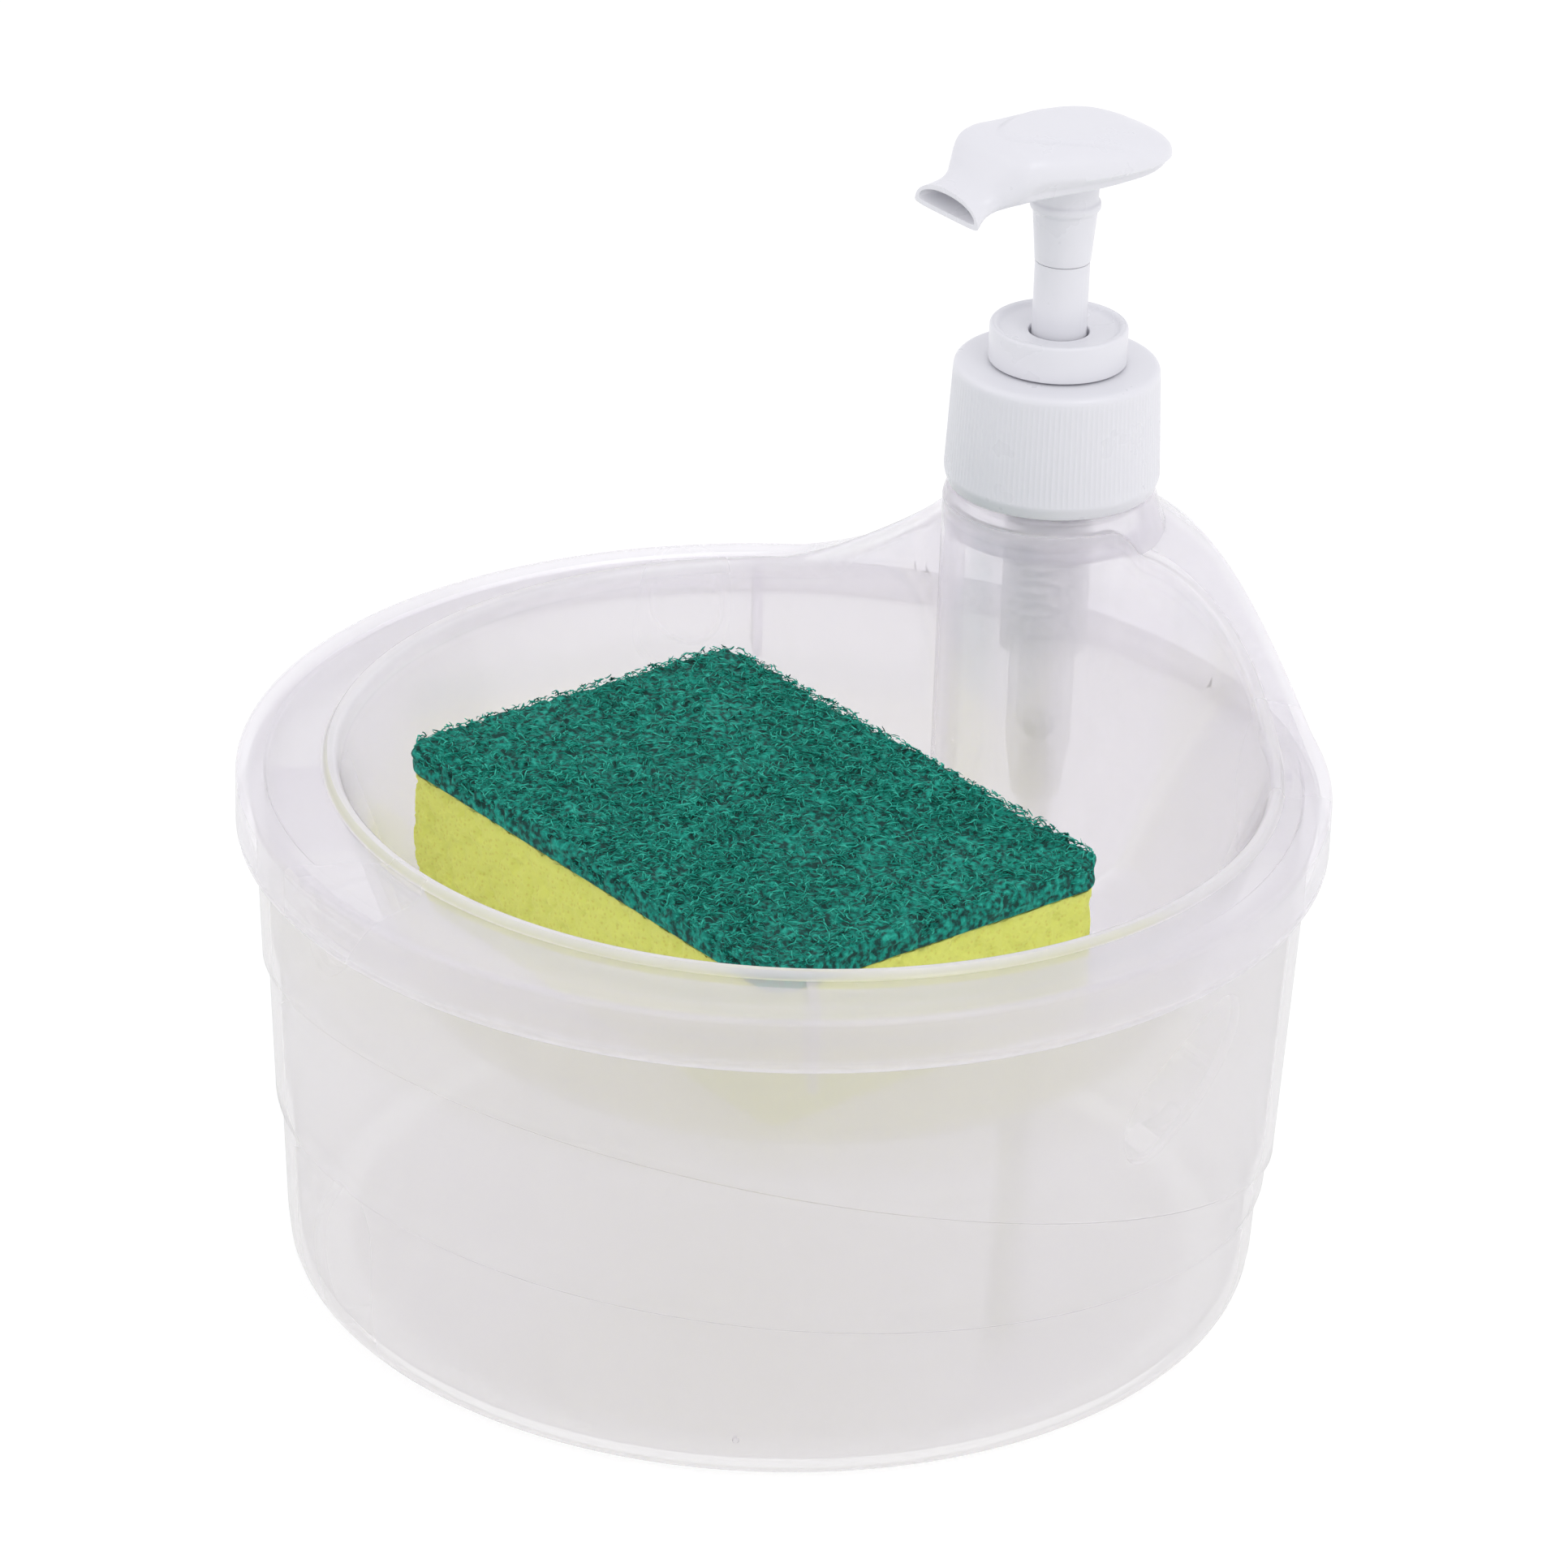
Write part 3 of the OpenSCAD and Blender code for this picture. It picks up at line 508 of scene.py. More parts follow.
@dataclass(frozen=True)
class Frosted(Finish):
    """Natural polypropylene, injection moulded in a lightly blasted tool.

    To the eye: a thin milky wall with a soft shine, through which near things show as blurred
    shapes. A faint unevenness of the gloss comes from the flow of the melt.
    """

    rough: float = 0.3
    through: float = 0.7
    milky: float = 0.3
    straight: float = 0.6
    gloss: float = 0.16
    flow_per_m: float = 28.0

    def paint(self, draft: Draft) -> None:
        """Mixes clear plastic with haze, lets a share of the view straight through, and lays a
        mirror skin on the outer side."""
        tree, tint = draft.tree, {"Color": linear(self.colour)}
        draft.set(Roughness=self.rough, IOR=PLASTIC_IOR, Transmission_Weight=self.through)
        draft.roughness(draft.noise(self.flow_per_m, 0.0), self.rough - 0.03, self.rough + 0.04)
        body = draft.mix(self.milky, draft.shader,
                         add_node(tree, "ShaderNodeBsdfTranslucent", tint))
        # The mesh's own attribute says where the moulding is thick and hides what is behind.
        seen = draft.scaled(draft.own(), -self.straight, self.straight)
        wall = draft.mix(seen, body, add_node(tree, "ShaderNodeBsdfTransparent", tint))
        inside = add_node(tree, "ShaderNodeNewGeometry").outputs["Backfacing"]
        mirror = add_node(tree, "ShaderNodeFresnel", {"IOR": PLASTIC_IOR}).outputs[0]
        share = draft.joined("MULTIPLY", mirror, draft.scaled(inside, -1.0, 1.0))
        shine = add_node(tree, "ShaderNodeBsdfGlossy", {"Roughness": self.gloss})
        skin = draft.mix(share, wall, shine)
        tree.links.new(skin.outputs[0], tree.nodes["Material Output"].inputs["Surface"])


@dataclass(frozen=True)
class Moulded(Finish):
    """Opaque moulded plastic: the pump's white polypropylene, or the soft rubber of its seal.

    To the eye: a clean even white with a broad soft highlight and a little light inside it.
    """

    rough: float = 0.3
    glow: float = 0.12
    skin_per_m: float = 160.0

    def paint(self, draft: Draft) -> None:
        """Adds light inside the plastic and a faint unevenness of its skin, 6 mm to a wave."""
        draft.set(IOR=PLASTIC_IOR, Subsurface_Weight=self.glow,
                  Subsurface_Radius=(1.0, 1.0, 1.0), Subsurface_Scale=1.5 * MM)
        skin = draft.noise(self.skin_per_m, 3.0)
        draft.roughness(skin, self.rough - 0.04, self.rough + 0.05)
        draft.bumps(skin, 0.04, 0.3)


@dataclass(frozen=True)
class Steel(Finish):
    """Stainless steel, polished on the valve balls and drawn on the spring's wire.

    To the eye: a bright grey mirror on the balls, and a duller, uneven grey on the wire.
    """

    rough: float = 0.12
    grain_per_m: float = 900.0

    def paint(self, draft: Draft) -> None:
        """Makes it metal with an uneven roughness, about 1 mm to a wave."""
        draft.set(Metallic=1.0)
        draft.roughness(draft.noise(self.grain_per_m, 2.0), self.rough * 0.7, self.rough * 1.5,
                        span=(0.0, 1.0))


@dataclass(frozen=True)
class OpenFoam(Finish):
    """Dyed polyurethane foam, cast and sawn, with cells just under a millimetre across.

    To the eye: soft lemon yellow without gloss, speckled with pores whose shade is painted into
    the colour as a darker yellow.
    """

    pore_shade_colour: str = "#DAD763"
    pore_mm: float = 0.8

    def paint(self, draft: Draft) -> None:
        """Adds light inside the foam, and pores that lie lower, with their shade painted in as a
        darker colour.
        """
        draft.set(Roughness=0.92, Subsurface_Weight=0.25, Subsurface_Radius=(1.0, 0.9, 0.4),
                  Subsurface_Scale=3.0 * MM)
        pores = add_node(draft.tree, "ShaderNodeTexVoronoi", {"Scale": 1.0 / (self.pore_mm * MM)},
                         {"Vector": draft.coord}).outputs["Distance"]
        # Painted shade: the pores get a darker colour than the foam, for the shade inside them.
        draft.colours(pores, (0.05, self.pore_shade_colour), (0.38, self.colour))
        draft.bumps(pores, 0.5, 0.4)


@dataclass(frozen=True)
class ScourFibre(Finish):
    """Nylon scouring fleece: curled fibres bonded with a green resin that holds fine grit.

    To the eye: deep blue green, matt, with lighter fibre tops over dark gaps; that shade of the
    gaps is painted into the colour, along with each fibre's own random tone.
    """

    dark: str = "#073F39"
    light: str = "#38BDA5"
    grit_per_m: float = 1100.0

    def paint(self, draft: Draft) -> None:
        """Colours each fibre by its own number, with grit of about 1 mm over it; on the pad's
        body that number is painted shade, darker between the tufts.
        """
        draft.set(Roughness=0.7, Specular_IOR_Level=0.3)
        grit = draft.noise(self.grit_per_m, 3.0)
        # The own number is painted shade on the pad's body and a random tone on each loose fibre.
        both = draft.joined("ADD", draft.scaled(grit, 2.2, -1.1), draft.own())
        draft.colours(both, (0.0, self.dark), (0.42, self.colour), (0.95, self.light))
        draft.bumps(grit, 0.5, 0.2)


def dress(piece: Piece, material: Material) -> None:
    """Gives a piece one material in place of what it has."""
    piece.data.materials.clear()
    piece.data.materials.append(material)


def finish_piece(piece: Piece, body: str, material: Material, slot: Slot,
                 *nodes: str) -> Piece:
    """Dresses a piece, lets it ride on its body and stand for its nodes, and reports it.

    Args:
        piece: the new piece.
        body: the body it moves with.
        material: its material.
        slot: the record's slot it belongs to; not used.
        *nodes: the part's nodes that it stands for.

    Returns:
        The piece.
    """
    dress(piece, material)
    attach(piece, body)
    if nodes:
        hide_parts(*nodes)
    log.info("%s: %d faces on %s", piece.name, len(piece.data.polygons), body)
    return piece


# Tub and lid


@dataclass
class Tub:
    """The round tub: a leaning wall with two sloping steps, a foot ring and a beaded rim."""

    height: float = 75.0
    foot_r: float = 72.79
    lean: float = 0.04541
    wall: float = 1.6
    floor: float = 1.9
    corner: float = 4.0
    recess: float = 0.8
    ring: float = 6.0
    step: float = 0.85
    step_h: float = 0.9
    bead: float = 0.5
    bead_h: float = 2.4
    high: tuple[float, float] = (32.0, 22.0)
    low: tuple[float, float] = (20.0, 8.0)
    slope_r: float = 76.2
    columns: int = 288

    def planes(self, side: Array, rise: float) -> tuple[Array, Array]:
        """Heights of the two steps round the wall: middle height less slope times y.

        Args:
            side: sine of the angle round the tub, 1 at the back.
            rise: how much higher the planes lie, for the inner wall.

        Returns:
            The lower and the upper step's height at each column.
        """
        back = side * (self.foot_r / self.slope_r)
        upper = self.high[0] + rise - self.high[1] * back
        lower = np.minimum(self.low[0] + rise - self.low[1] * back, upper)
        return lower, np.maximum(upper, lower + 1.0)

    def wall_rows(self, inset: float, start: float, end: float, rise: float
                  ) -> tuple[Array, Array]:
        """Rows up a wall: its radius is the leaning line less one step width below each plane,
        and each step is a smooth curve.

        Args:
            inset: how far the wall lies inside the outer one.
            start: height of the first row.
            end: height of the last row.
            rise: how much higher the step planes lie.

        Returns:
            Radius and height of each row and column.
        """
        turn = circle(self.columns)
        lower, upper = self.planes(np.sin(turn), rise)
        half = self.step_h / 2
        marks = np.stack([np.full_like(turn, start), lower - half, lower + half, upper - half,
                          upper + half, np.full_like(turn, end)])
        counts = (8, 7, 8, 7, 16)
        rows = [marks[k] + (marks[k + 1] - marks[k]) * (np.arange(n) / n)[:, None]
                for k, n in enumerate(counts)]
        z = np.concatenate(rows + [marks[-1:]])
        drop = (2 - smooth((z - lower + half) / (2 * half))
                - smooth((z - upper + half) / (2 * half)))
        return self.foot_r - inset + z * self.lean - self.step * drop, z

    def build(self) -> Piece:
        """Makes the tub as one closed surface: floor, foot ring, outer wall, bead, inner wall
        and inner floor, row after row."""
        low_r = self.foot_r - 2 * self.step
        ring_r = low_r - self.corner - self.ring
        arc = np.radians(np.linspace(0, 90, 9))

        def level(pairs: Array) -> Array:
            """Rows that are the same all round, from radius and height."""
            return np.broadcast_to(pairs[:, None, :], (len(pairs), self.columns, 2))

        under = np.array([[ring_r * 0.25, self.recess], [ring_r * 0.6, self.recess],
                          [ring_r - 0.9, self.recess], [ring_r - 0.4, self.recess * 0.9],
                          [ring_r, self.recess * 0.55], [ring_r + 0.35, 0.12],
                          [ring_r + 0.8, 0.0], [low_r - self.corner - 0.6, 0.0]])
        toe = np.stack([low_r - self.corner * (1 - np.sin(arc)),
                        self.corner * (1 - np.cos(arc))], axis=1)
        outer = np.stack(self.wall_rows(0.0, self.corner, self.height - self.bead_h - 0.4, 0.0),
                         axis=-1)
        rim_r = self.foot_r + self.height * self.lean
        top = self.height
        out, deep, wall = self.bead, self.bead_h, self.wall
        bead = np.array([rim_r, top]) + np.array([
            [out * 0.2, -deep - 0.15], [out * 0.9, 0.15 - deep], [out, 0.4 - deep], [out, -0.5],
            [out * 0.85, -0.15], [out * 0.3, 0.0], [0.4 - wall, 0.0], [0.1 - wall, -0.1],
            [-wall, -0.4]])
        inner_corner = self.corner - self.wall
        inner = np.stack(self.wall_rows(self.wall, self.floor + inner_corner, top - 0.9,
                                        self.wall), axis=-1)[::-1]
        heel = np.stack([low_r - self.wall - inner_corner * (1 - np.sin(arc[::-1])),
                         self.floor + inner_corner * (1 - np.cos(arc[::-1]))], axis=1)
        bottom = np.array([[(low_r - self.corner) * s, self.floor] for s in (0.8, 0.5, 0.2)])
        rows = np.concatenate([level(under), level(toe), outer[1:], level(bead), inner[:-1],
                               level(heel), level(bottom)])
        shell = Shell()
        shell.capped(around(rows[..., 0], circle(self.columns), rows[..., 1]))
        self.gate(shell)
        return shell.object("tub_wall")

    def gate(self, shell: Shell) -> None:
        """Adds the small moulding gate low on the front, a blunt cone sunk in the wall."""
        height, spin = 7.0, circle(12)
        out = np.array([-0.5, 0.12, 0.3, 0.34])[:, None]
        size = np.array([0.5, 0.5, 0.38, 0.16])[:, None]
        reach = self.foot_r - 2 * self.step + height * self.lean + out
        x, y = turned(reach, size * np.cos(spin), math.radians(-52.0))
        shell.capped(raised(np.stack([x, y], axis=-1), height + size * np.sin(spin)))


@dataclass
class Lid:
    """The lid: one moulding with flange and skirt, sponge bowl, hill, bay and threaded neck.

    Its surface is one grid. The columns follow the bowl's outline, which runs round the pump's
    bay, through a hollow corner and round the bowl. The rows run from the middle of the bowl's
    floor up its wall, over the crest, across the flange, down the skirt, and back underneath.
    """

    # The bowl: its middle, floor and leaning wall.
    bowl_y: float = 4.2
    bowl_r: float = 67.45
    floor_z: float = 43.65
    floor_r: float = 50.53
    wall_foot_r: float = 55.48
    fillet: float = 7.0
    lean_deg: float = 19.5
    skin: float = 1.6
    crest_z: float = 77.45
    # The flange with its raised band, the rim's round and ridge, and the skirt with its hem.
    plate_z: float = 76.35
    under_z: float = 75.05
    band: float = 0.5
    band_r: float = 74.2
    flange_r: float = 74.0
    edge_r: float = 77.6
    edge_h: float = 0.9
    side_r: float = 78.4
    ridge: float = 0.3
    ridge_z: float = 76.85
    rim_r: float = 78.7
    lip: float = 0.45
    hem: float = 0.4
    back: float = 0.3
    web: float = 1.4
    skirt_in: float = 77.1
    skirt_z: float = 68.75
    # The bay before the pump, and the hollow corners that join it to the bowl.
    pump_y: float = 58.0
    bay_r: float = 16.0
    corner_r: float = 14.0
    corner_x: float = 28.707
    corner_y: float = 45.087
    foot_r: float = 2.0
    # The hill behind the bay.
    hill_y: float = 60.3
    hill_h: float = 24.0
    hill_top: float = 7.1
    hill_foot: float = 59.0
    hill_power: float = 1.48
    roof: float = 1.9
    # The cone's foot and top, where it is cut off beside the bowl, and the neck's bore.
    shoulder_z: float = 103.35
    hole_r: float = 13.9
    neck_r: float = 12.9
    neck_top: float = 117.55
    bore_r: float = 11.0
    bore_z: float = 101.9
    bore_foot_r: float = 13.7
    thread_z: float = 106.35
    thread_turns: float = 2.25
    cone_foot: tuple[float, float] = (17.6, 97.0)
    cone_r: float = 15.3
    cone_cut: float = 101.4
    # Columns and rows of the grid.
    bay_columns: int = 44
    bowl_columns: int = 132
    cells: int = 36

    @property
    def lean(self) -> float:
        """How far the bowl's wall goes outwards for each millimetre up."""
        return math.tan(math.radians(self.lean_deg))

    def slant(self, thickness: float) -> float:
        """A thickness of the leaning wall, measured level."""
        return thickness / math.cos(math.atan(self.lean))

    def hill(self, x: Array, y: Array) -> Array:
        """Height of the hill: the flange plus its rise times a cosine wave of the distance from
        its middle, raised to a power.

        Args:
            x: places across.
            y: places along.

        Returns:
            The surface's height above the table.
        """
        far = np.hypot(x, y - self.hill_y)
        wave = np.clip((far - self.hill_top) / (self.hill_foot - self.hill_top), 0.0, 1.0)
        return self.plate_z + self.hill_h * ((1 + np.cos(math.pi * wave)) / 2) ** self.hill_power

    def top(self, x: Array, y: Array) -> Array:
        """Height of the lid's upper surface: the larger of the flange with its band and the
        hill."""
        band = self.band * smooth((np.hypot(x, y) - self.band_r) / 0.5)
        return np.maximum(self.plate_z + band, self.hill(x, y))

    def below(self, x: Array, y: Array) -> Array:
        """Height of the lid's under surface: the larger of the flange's underside and the hill
        less its roof."""
        return np.maximum(self.under_z, self.hill(x, y) - self.roof)

    def outline(self, rho: Array, grow: float, foot: Array) -> Array:
        """The bowl's outline in plan about its own middle.

        The first columns run along the bay's circle and then the hollow corner's circle, evenly
        by length, up to where the bowl's circle crosses them. The rest run round the bowl's
        circle. The other half is the mirror image.

        Args:
            rho: the bowl's radius, one for each row or each row and half column.
            grow: how far the outline lies outside the bowl's inner surface.
            foot: the small fillet's share at each row, which widens the bay near the floor.

        Returns:
            Plan points, rows by columns by two.
        """
        half = self.bay_columns + self.bowl_columns + 1
        rho = np.broadcast_to(rho, (len(rho), half))
        foot = np.broadcast_to(foot, (len(foot), half))
        bay, hollow = self.bay_r - grow + foot, self.corner_r + grow - foot
        bay_y = self.pump_y - self.bowl_y
        far, mid = math.hypot(self.corner_x, self.corner_y), math.atan2(self.corner_x,
                                                                        self.corner_y)
        touch = math.atan2(self.corner_x, bay_y - self.corner_y)
        # Where the bowl's circle crosses the corner's circle, or else the bay's.
        across = np.clip((rho ** 2 + far ** 2 - hollow ** 2) / (2 * rho * far), -1.0, 1.0)
        on_corner = mid - np.arccos(across)
        lead = np.clip((rho ** 2 + bay_y ** 2 - bay ** 2) / (2 * rho * bay_y), -1.0, 1.0)
        on_bay = np.arccos(lead)
        bay_turn = np.arctan2(rho * np.sin(on_bay), bay_y - rho * np.cos(on_bay))
        past = (bay_turn >= touch) | (rho > np.hypot(bay * math.sin(touch),
                                                     bay_y - bay * math.cos(touch)))
        cross = np.where(past, on_corner, on_bay)
        start = math.pi / 2 + touch
        end = np.arctan2(rho * np.cos(on_corner) - self.corner_y,
                         rho * np.sin(on_corner) - self.corner_x)
        first = bay * np.where(past, touch, np.minimum(bay_turn, touch))
        second = np.where(past, hollow * np.maximum(start - end, 0.0), 0.0)
        column = np.arange(half)
        run = np.minimum(column / self.bay_columns, 1.0) * (first + second)
        turn = np.minimum(run, first) / bay
        bend = start - np.maximum(run - first, 0.0) / hollow
        on_first = run <= first
        x = np.where(on_first, bay * np.sin(turn), self.corner_x + hollow * np.cos(bend))
        y = np.where(on_first, bay_y - bay * np.cos(turn), self.corner_y + hollow * np.sin(bend))
        round_share = np.clip((column - self.bay_columns) / self.bowl_columns, 0.0, 1.0)
        angle = cross + (math.pi - cross) * round_share
        on_bowl = column >= self.bay_columns
        x = np.where(on_bowl, rho * np.sin(angle), x)
        y = np.where(on_bowl, rho * np.cos(angle), y)
        plan = np.stack([x, y], axis=-1)
        near = slice(self.bay_columns - 5, self.bay_columns + 6)
        before = slice(near.start - 1, near.stop - 1)
        after = slice(near.start + 1, near.stop + 1)
        for _ in range(5):
            plan[:, near] = (plan[:, near] + (plan[:, before] + plan[:, after]) / 2) / 2
        mirror = plan[:, -2:0:-1] * np.array([-1.0, 1.0])
        return np.concatenate([plan, mirror], axis=1)

    def half_of(self, values: Array) -> Array:
        """The first half of each row of columns, up to the bowl's front."""
        return values[:, :self.bay_columns + self.bowl_columns + 1]

    @staticmethod
    def normals(plan: Array) -> Array:
        """Unit directions away from the bowl's room, square to the outline.

        Args:
            plan: rows by columns of plan points.

        Returns:
            The directions, in the same shape.
        """
        along = np.roll(plan, -1, axis=1) - np.roll(plan, 1, axis=1)
        return unit(np.stack([-along[..., 1], along[..., 0]], axis=-1))

    def foot_share(self, height: Array, radius: float) -> Array:
        """How far a small fillet stands out at a height above the floor: r less the root of r
        squared less (r less h) squared."""
        gap = np.clip(radius - height, 0.0, radius)
        return radius - np.sqrt(radius ** 2 - gap ** 2)

    def upper(self, plan: Array) -> Array:
        """Plan points raised to the lid's upper surface."""
        return raised(plan, self.top(plan[..., 0], plan[..., 1]))

    def lower(self, plan: Array) -> Array:
        """Plan points raised to the lid's under surface."""
        return raised(plan, self.below(plan[..., 0], plan[..., 1]))

    def bowl_rows(self, grow: float, crest: Array) -> Array:
        """Rows from the floor's middle up to the top of the wall.

        Args:
            grow: 0 for the inner surface, the wall's thickness for the outer one.
            crest: height of the wall's top at each column.

        Returns:
            Points of the rows, rows by columns by three, in the part's frame.
        """
        low = self.floor_z - grow
        radius = self.foot_r + grow
        floor_plan = self.outline(np.array([[self.floor_r]]), grow,
                                  self.foot_share(np.array([[0.0]]), radius))
        share = np.array([0.12, 0.3, 0.5, 0.7, 0.86, 0.95, 1.0])[:, None, None]
        floor_rows = raised(floor_plan * share, low)
        turn = (np.arange(1, 11) / 10 * math.radians(90.0 - self.lean_deg))[:, None]
        big = self.fillet + grow
        z = self.floor_z + self.fillet - big * np.cos(turn)
        fillet_rows = raised(self.outline(self.floor_r + big * np.sin(turn), grow,
                                          self.foot_share(z - low, radius)), z)
        share = np.arange(1, 27)[:, None] / 26
        z = z[-1, 0] + (crest[None, :] - z[-1, 0]) * share
        half_z = self.half_of(z)
        rise = np.minimum(half_z, self.crest_z) - self.floor_z
        plan = self.outline(self.wall_foot_r + self.slant(grow) + rise * self.lean, grow,
                            self.foot_share(half_z - low, radius))
        rows = np.concatenate([floor_rows, fillet_rows, raised(plan, z)])
        rows[..., 1] += self.bowl_y
        return rows

    def build(self) -> Piece:
        """Makes the lid with its neck, thread and webs."""
        shell = Shell()
        self.moulding(shell)
        self.neck(shell)
        Thread().ridge(shell, self.neck_r, self.thread_z, self.thread_turns, Facing.OUTWARD,
                       self.pump_y)
        self.webs(shell)
        return shell.object("lid_moulding")

    def moulding(self, shell: Shell) -> None:
        """Adds the main surface, with a round hole in the hill where the neck stands."""
        shift = np.array([0.0, self.bowl_y])
        level = np.array([[0.0]])
        crest_plan = self.outline(np.array([[self.bowl_r]]), 0.0, level)
        edge = crest_plan[0] + shift
        wall_top = self.wall_top(edge)
        inner = self.bowl_rows(0.0, wall_top - self.lip)
        lip, crest = self.crest_rows(edge, self.normals(crest_plan)[0], wall_top)

        # Directions round the rim, evened out so that the columns spread smoothly.
        start = crest[-1, :, :2]
        angle = np.unwrap(np.arctan2(start[:, 0], start[:, 1]))
        lap = 2 * math.pi * (1 if angle[-1] > angle[0] else -1)
        for _ in range(60):
            left = np.concatenate([[angle[-1] - lap], angle[:-1]])
            right = np.concatenate([angle[1:], [angle[0] + lap]])
            angle = angle / 2 + (left + right) / 4
        way = np.stack([np.sin(angle), np.cos(angle)], axis=-1)

        # The flange from the crest to its rim, the rim and skirt, and the way back underneath.
        share = (np.arange(self.cells + 1) / self.cells)[:, None, None]
        flange = self.upper(start * (1 - share[1:]) + way * self.flange_r * share[1:])
        radius = np.array([74.2, 74.35, 74.5, 74.7, 75.4, 76.2, 77.0, self.edge_r])
        band = self.upper(way * radius[:, None, None])
        skirt = self.skirt_rows(way)
        ledge = self.lower(way * np.array([76.2, 75.4, 74.6])[:, None, None])
        under_plan = self.outline(np.array([[self.bowl_r + self.slant(self.skin)]]), self.skin,
                                  level)[0] + shift
        under = self.lower(under_plan * (1 - share) + way * self.flange_r * share)[::-1]
        outside = self.bowl_rows(self.skin, under[-1, :, 2])[::-1][1:]

        rows = np.concatenate([inner, lip, crest, flange, band, skirt, ledge, under, outside])
        upper = len(inner) + len(lip) + len(crest)
        lower = upper + len(flange) + len(band) + len(skirt) + len(ledge) + self.cells
        numbers = shell.add(rows)

        # The crest and the skirt's lower edge are the thick places, which look milky.
        far = np.hypot(rows[..., 0], rows[..., 1])
        near_crest = smooth((rows[..., 2] - wall_top + 3.0) / 2.6)
        near_crest[upper:] = 0.0
        hem = smooth((self.skirt_z + 1.5 - rows[..., 2]) / 0.8) * (far > self.skirt_in - 0.1)
        shell.tints = [np.maximum(0.9 * near_crest, 0.6 * hem).ravel()]

        kept, walls = self.hole(shell, rows, numbers, upper - 1 + np.arange(self.cells + 1),
                                lower - np.arange(self.cells + 1))
        first = shell.add(np.array([[0.0, self.bowl_y, self.floor_z]]))[0]
        last = shell.add(np.array([[0.0, self.bowl_y, self.floor_z - self.skin]]))[0]
        shell.close(kept, walls, shell.fan(numbers[0], first, True),
                    shell.fan(numbers[-1], last, False))

    def wall_top(self, edge: Array) -> Array:
        """Height of the bowl's wall at each column: the largest of its crest, the lid's upper
        surface and the cone that carries the neck."""
        foot_r, foot_z = self.cone_foot
        reach = np.hypot(edge[:, 0], edge[:, 1] - self.pump_y)
        slope = (self.shoulder_z - foot_z) / (foot_r - self.cone_r)
        cone = np.clip(foot_z + (foot_r - reach) * slope, 0.0, self.cone_cut)
        return np.maximum(np.maximum(self.crest_z, self.top(edge[:, 0], edge[:, 1])), cone)

    def crest_rows(self, edge: Array, out: Array, wall_top: Array) -> tuple[Array, Array]:
        """Rows over the wall's rounded edge, and from there down to the flange.

        Args:
            edge: plan points of the wall's inner edge.
            out: directions away from the bowl at each of them.
            wall_top: the wall's height at each of them.

        Returns:
            The rows of the rounded edge and those behind it.
        """
        turn = np.radians(np.array([22.5, 45.0, 67.5, 90.0]))[:, None]
        away = self.lip * (1 - np.cos(turn))
        lip = raised(edge + out * away[..., None], wall_top - self.lip * (1 - np.sin(turn)))
        away = np.array([0.8, 1.15, 1.35, 1.55, 1.72, 1.9])[:, None]
        plan = edge + out * away[..., None]
        flat = self.top(plan[..., 0], plan[..., 1])
        return lip, raised(plan, wall_top + (flat - wall_top) * smooth((away - 1.1) / 0.8))

    def skirt_rows(self, way: Array) -> Array:
        """Rows over the rim's round, down the skirt, round its hem and up its inner side.

        Args:
            way: direction of each column in plan.

        Returns:
            Points of the rows.
        """
        rim_top = self.top(way[:, 0] * self.edge_r, way[:, 1] * self.edge_r)
        turn = np.radians(np.array([18.0, 36.0, 54.0, 72.0, 90.0]))[:, None]
        outer_r = self.side_r + self.ridge * smooth((self.ridge_z + 0.4 - rim_top) / 0.4)
        round_r = self.edge_r + (outer_r - self.edge_r) * np.sin(turn)
        round_z = rim_top - self.edge_h * (1 - np.cos(turn))
        # Where the hill raises the rim's top, the rows come down evenly to one level first.
        level_z = 77.0
        level = np.array([76.7, 76.5, 76.3, 76.1, 75.9, 74.5, 73.0, 71.5, 70.2, 69.3,
                          self.skirt_z + self.hem])[:, None]
        share = np.linspace(1.0, 0.0, 9)[1:, None]
        fall_z = np.concatenate([share * (rim_top - self.edge_h - level_z) + level_z,
                                 level + 0 * rim_top])
        # Elsewhere that level is above the rim, so each row is held a little below the last.
        step = np.arange(1, len(fall_z) + 1)[:, None]
        fall_z = np.minimum(fall_z, rim_top - self.edge_h - 0.03 * step)
        fall_r = self.side_r + self.ridge * smooth((self.ridge_z + 0.05 - fall_z) / 0.8)
        turn = np.radians(np.array([30.0, 60.0, 90.0]))[:, None]
        hem_r = self.rim_r - self.hem * (1 - np.cos(turn))
        hem_z = self.skirt_z + self.hem * (1 - np.sin(turn))
        back_r = self.skirt_in + self.back * (1 - np.sin(turn))
        back_z = self.skirt_z + self.back * (1 - np.cos(turn))
        foot_z = self.skirt_z + self.back
        roof_z = self.below(way[:, 0] * self.skirt_in, way[:, 1] * self.skirt_in)
        rise_z = foot_z + (roof_z - foot_z) * (np.arange(1, 11) / 10)[:, None]
        radius = np.concatenate([round_r, fall_r, hem_r + 0 * rim_top, back_r + 0 * rim_top,
                                 np.full_like(rise_z, self.skirt_in)])
        height = np.concatenate([round_z, fall_z, hem_z + 0 * rim_top, back_z + 0 * rim_top,
                                 rise_z])
        return raised(way * radius[..., None], height)

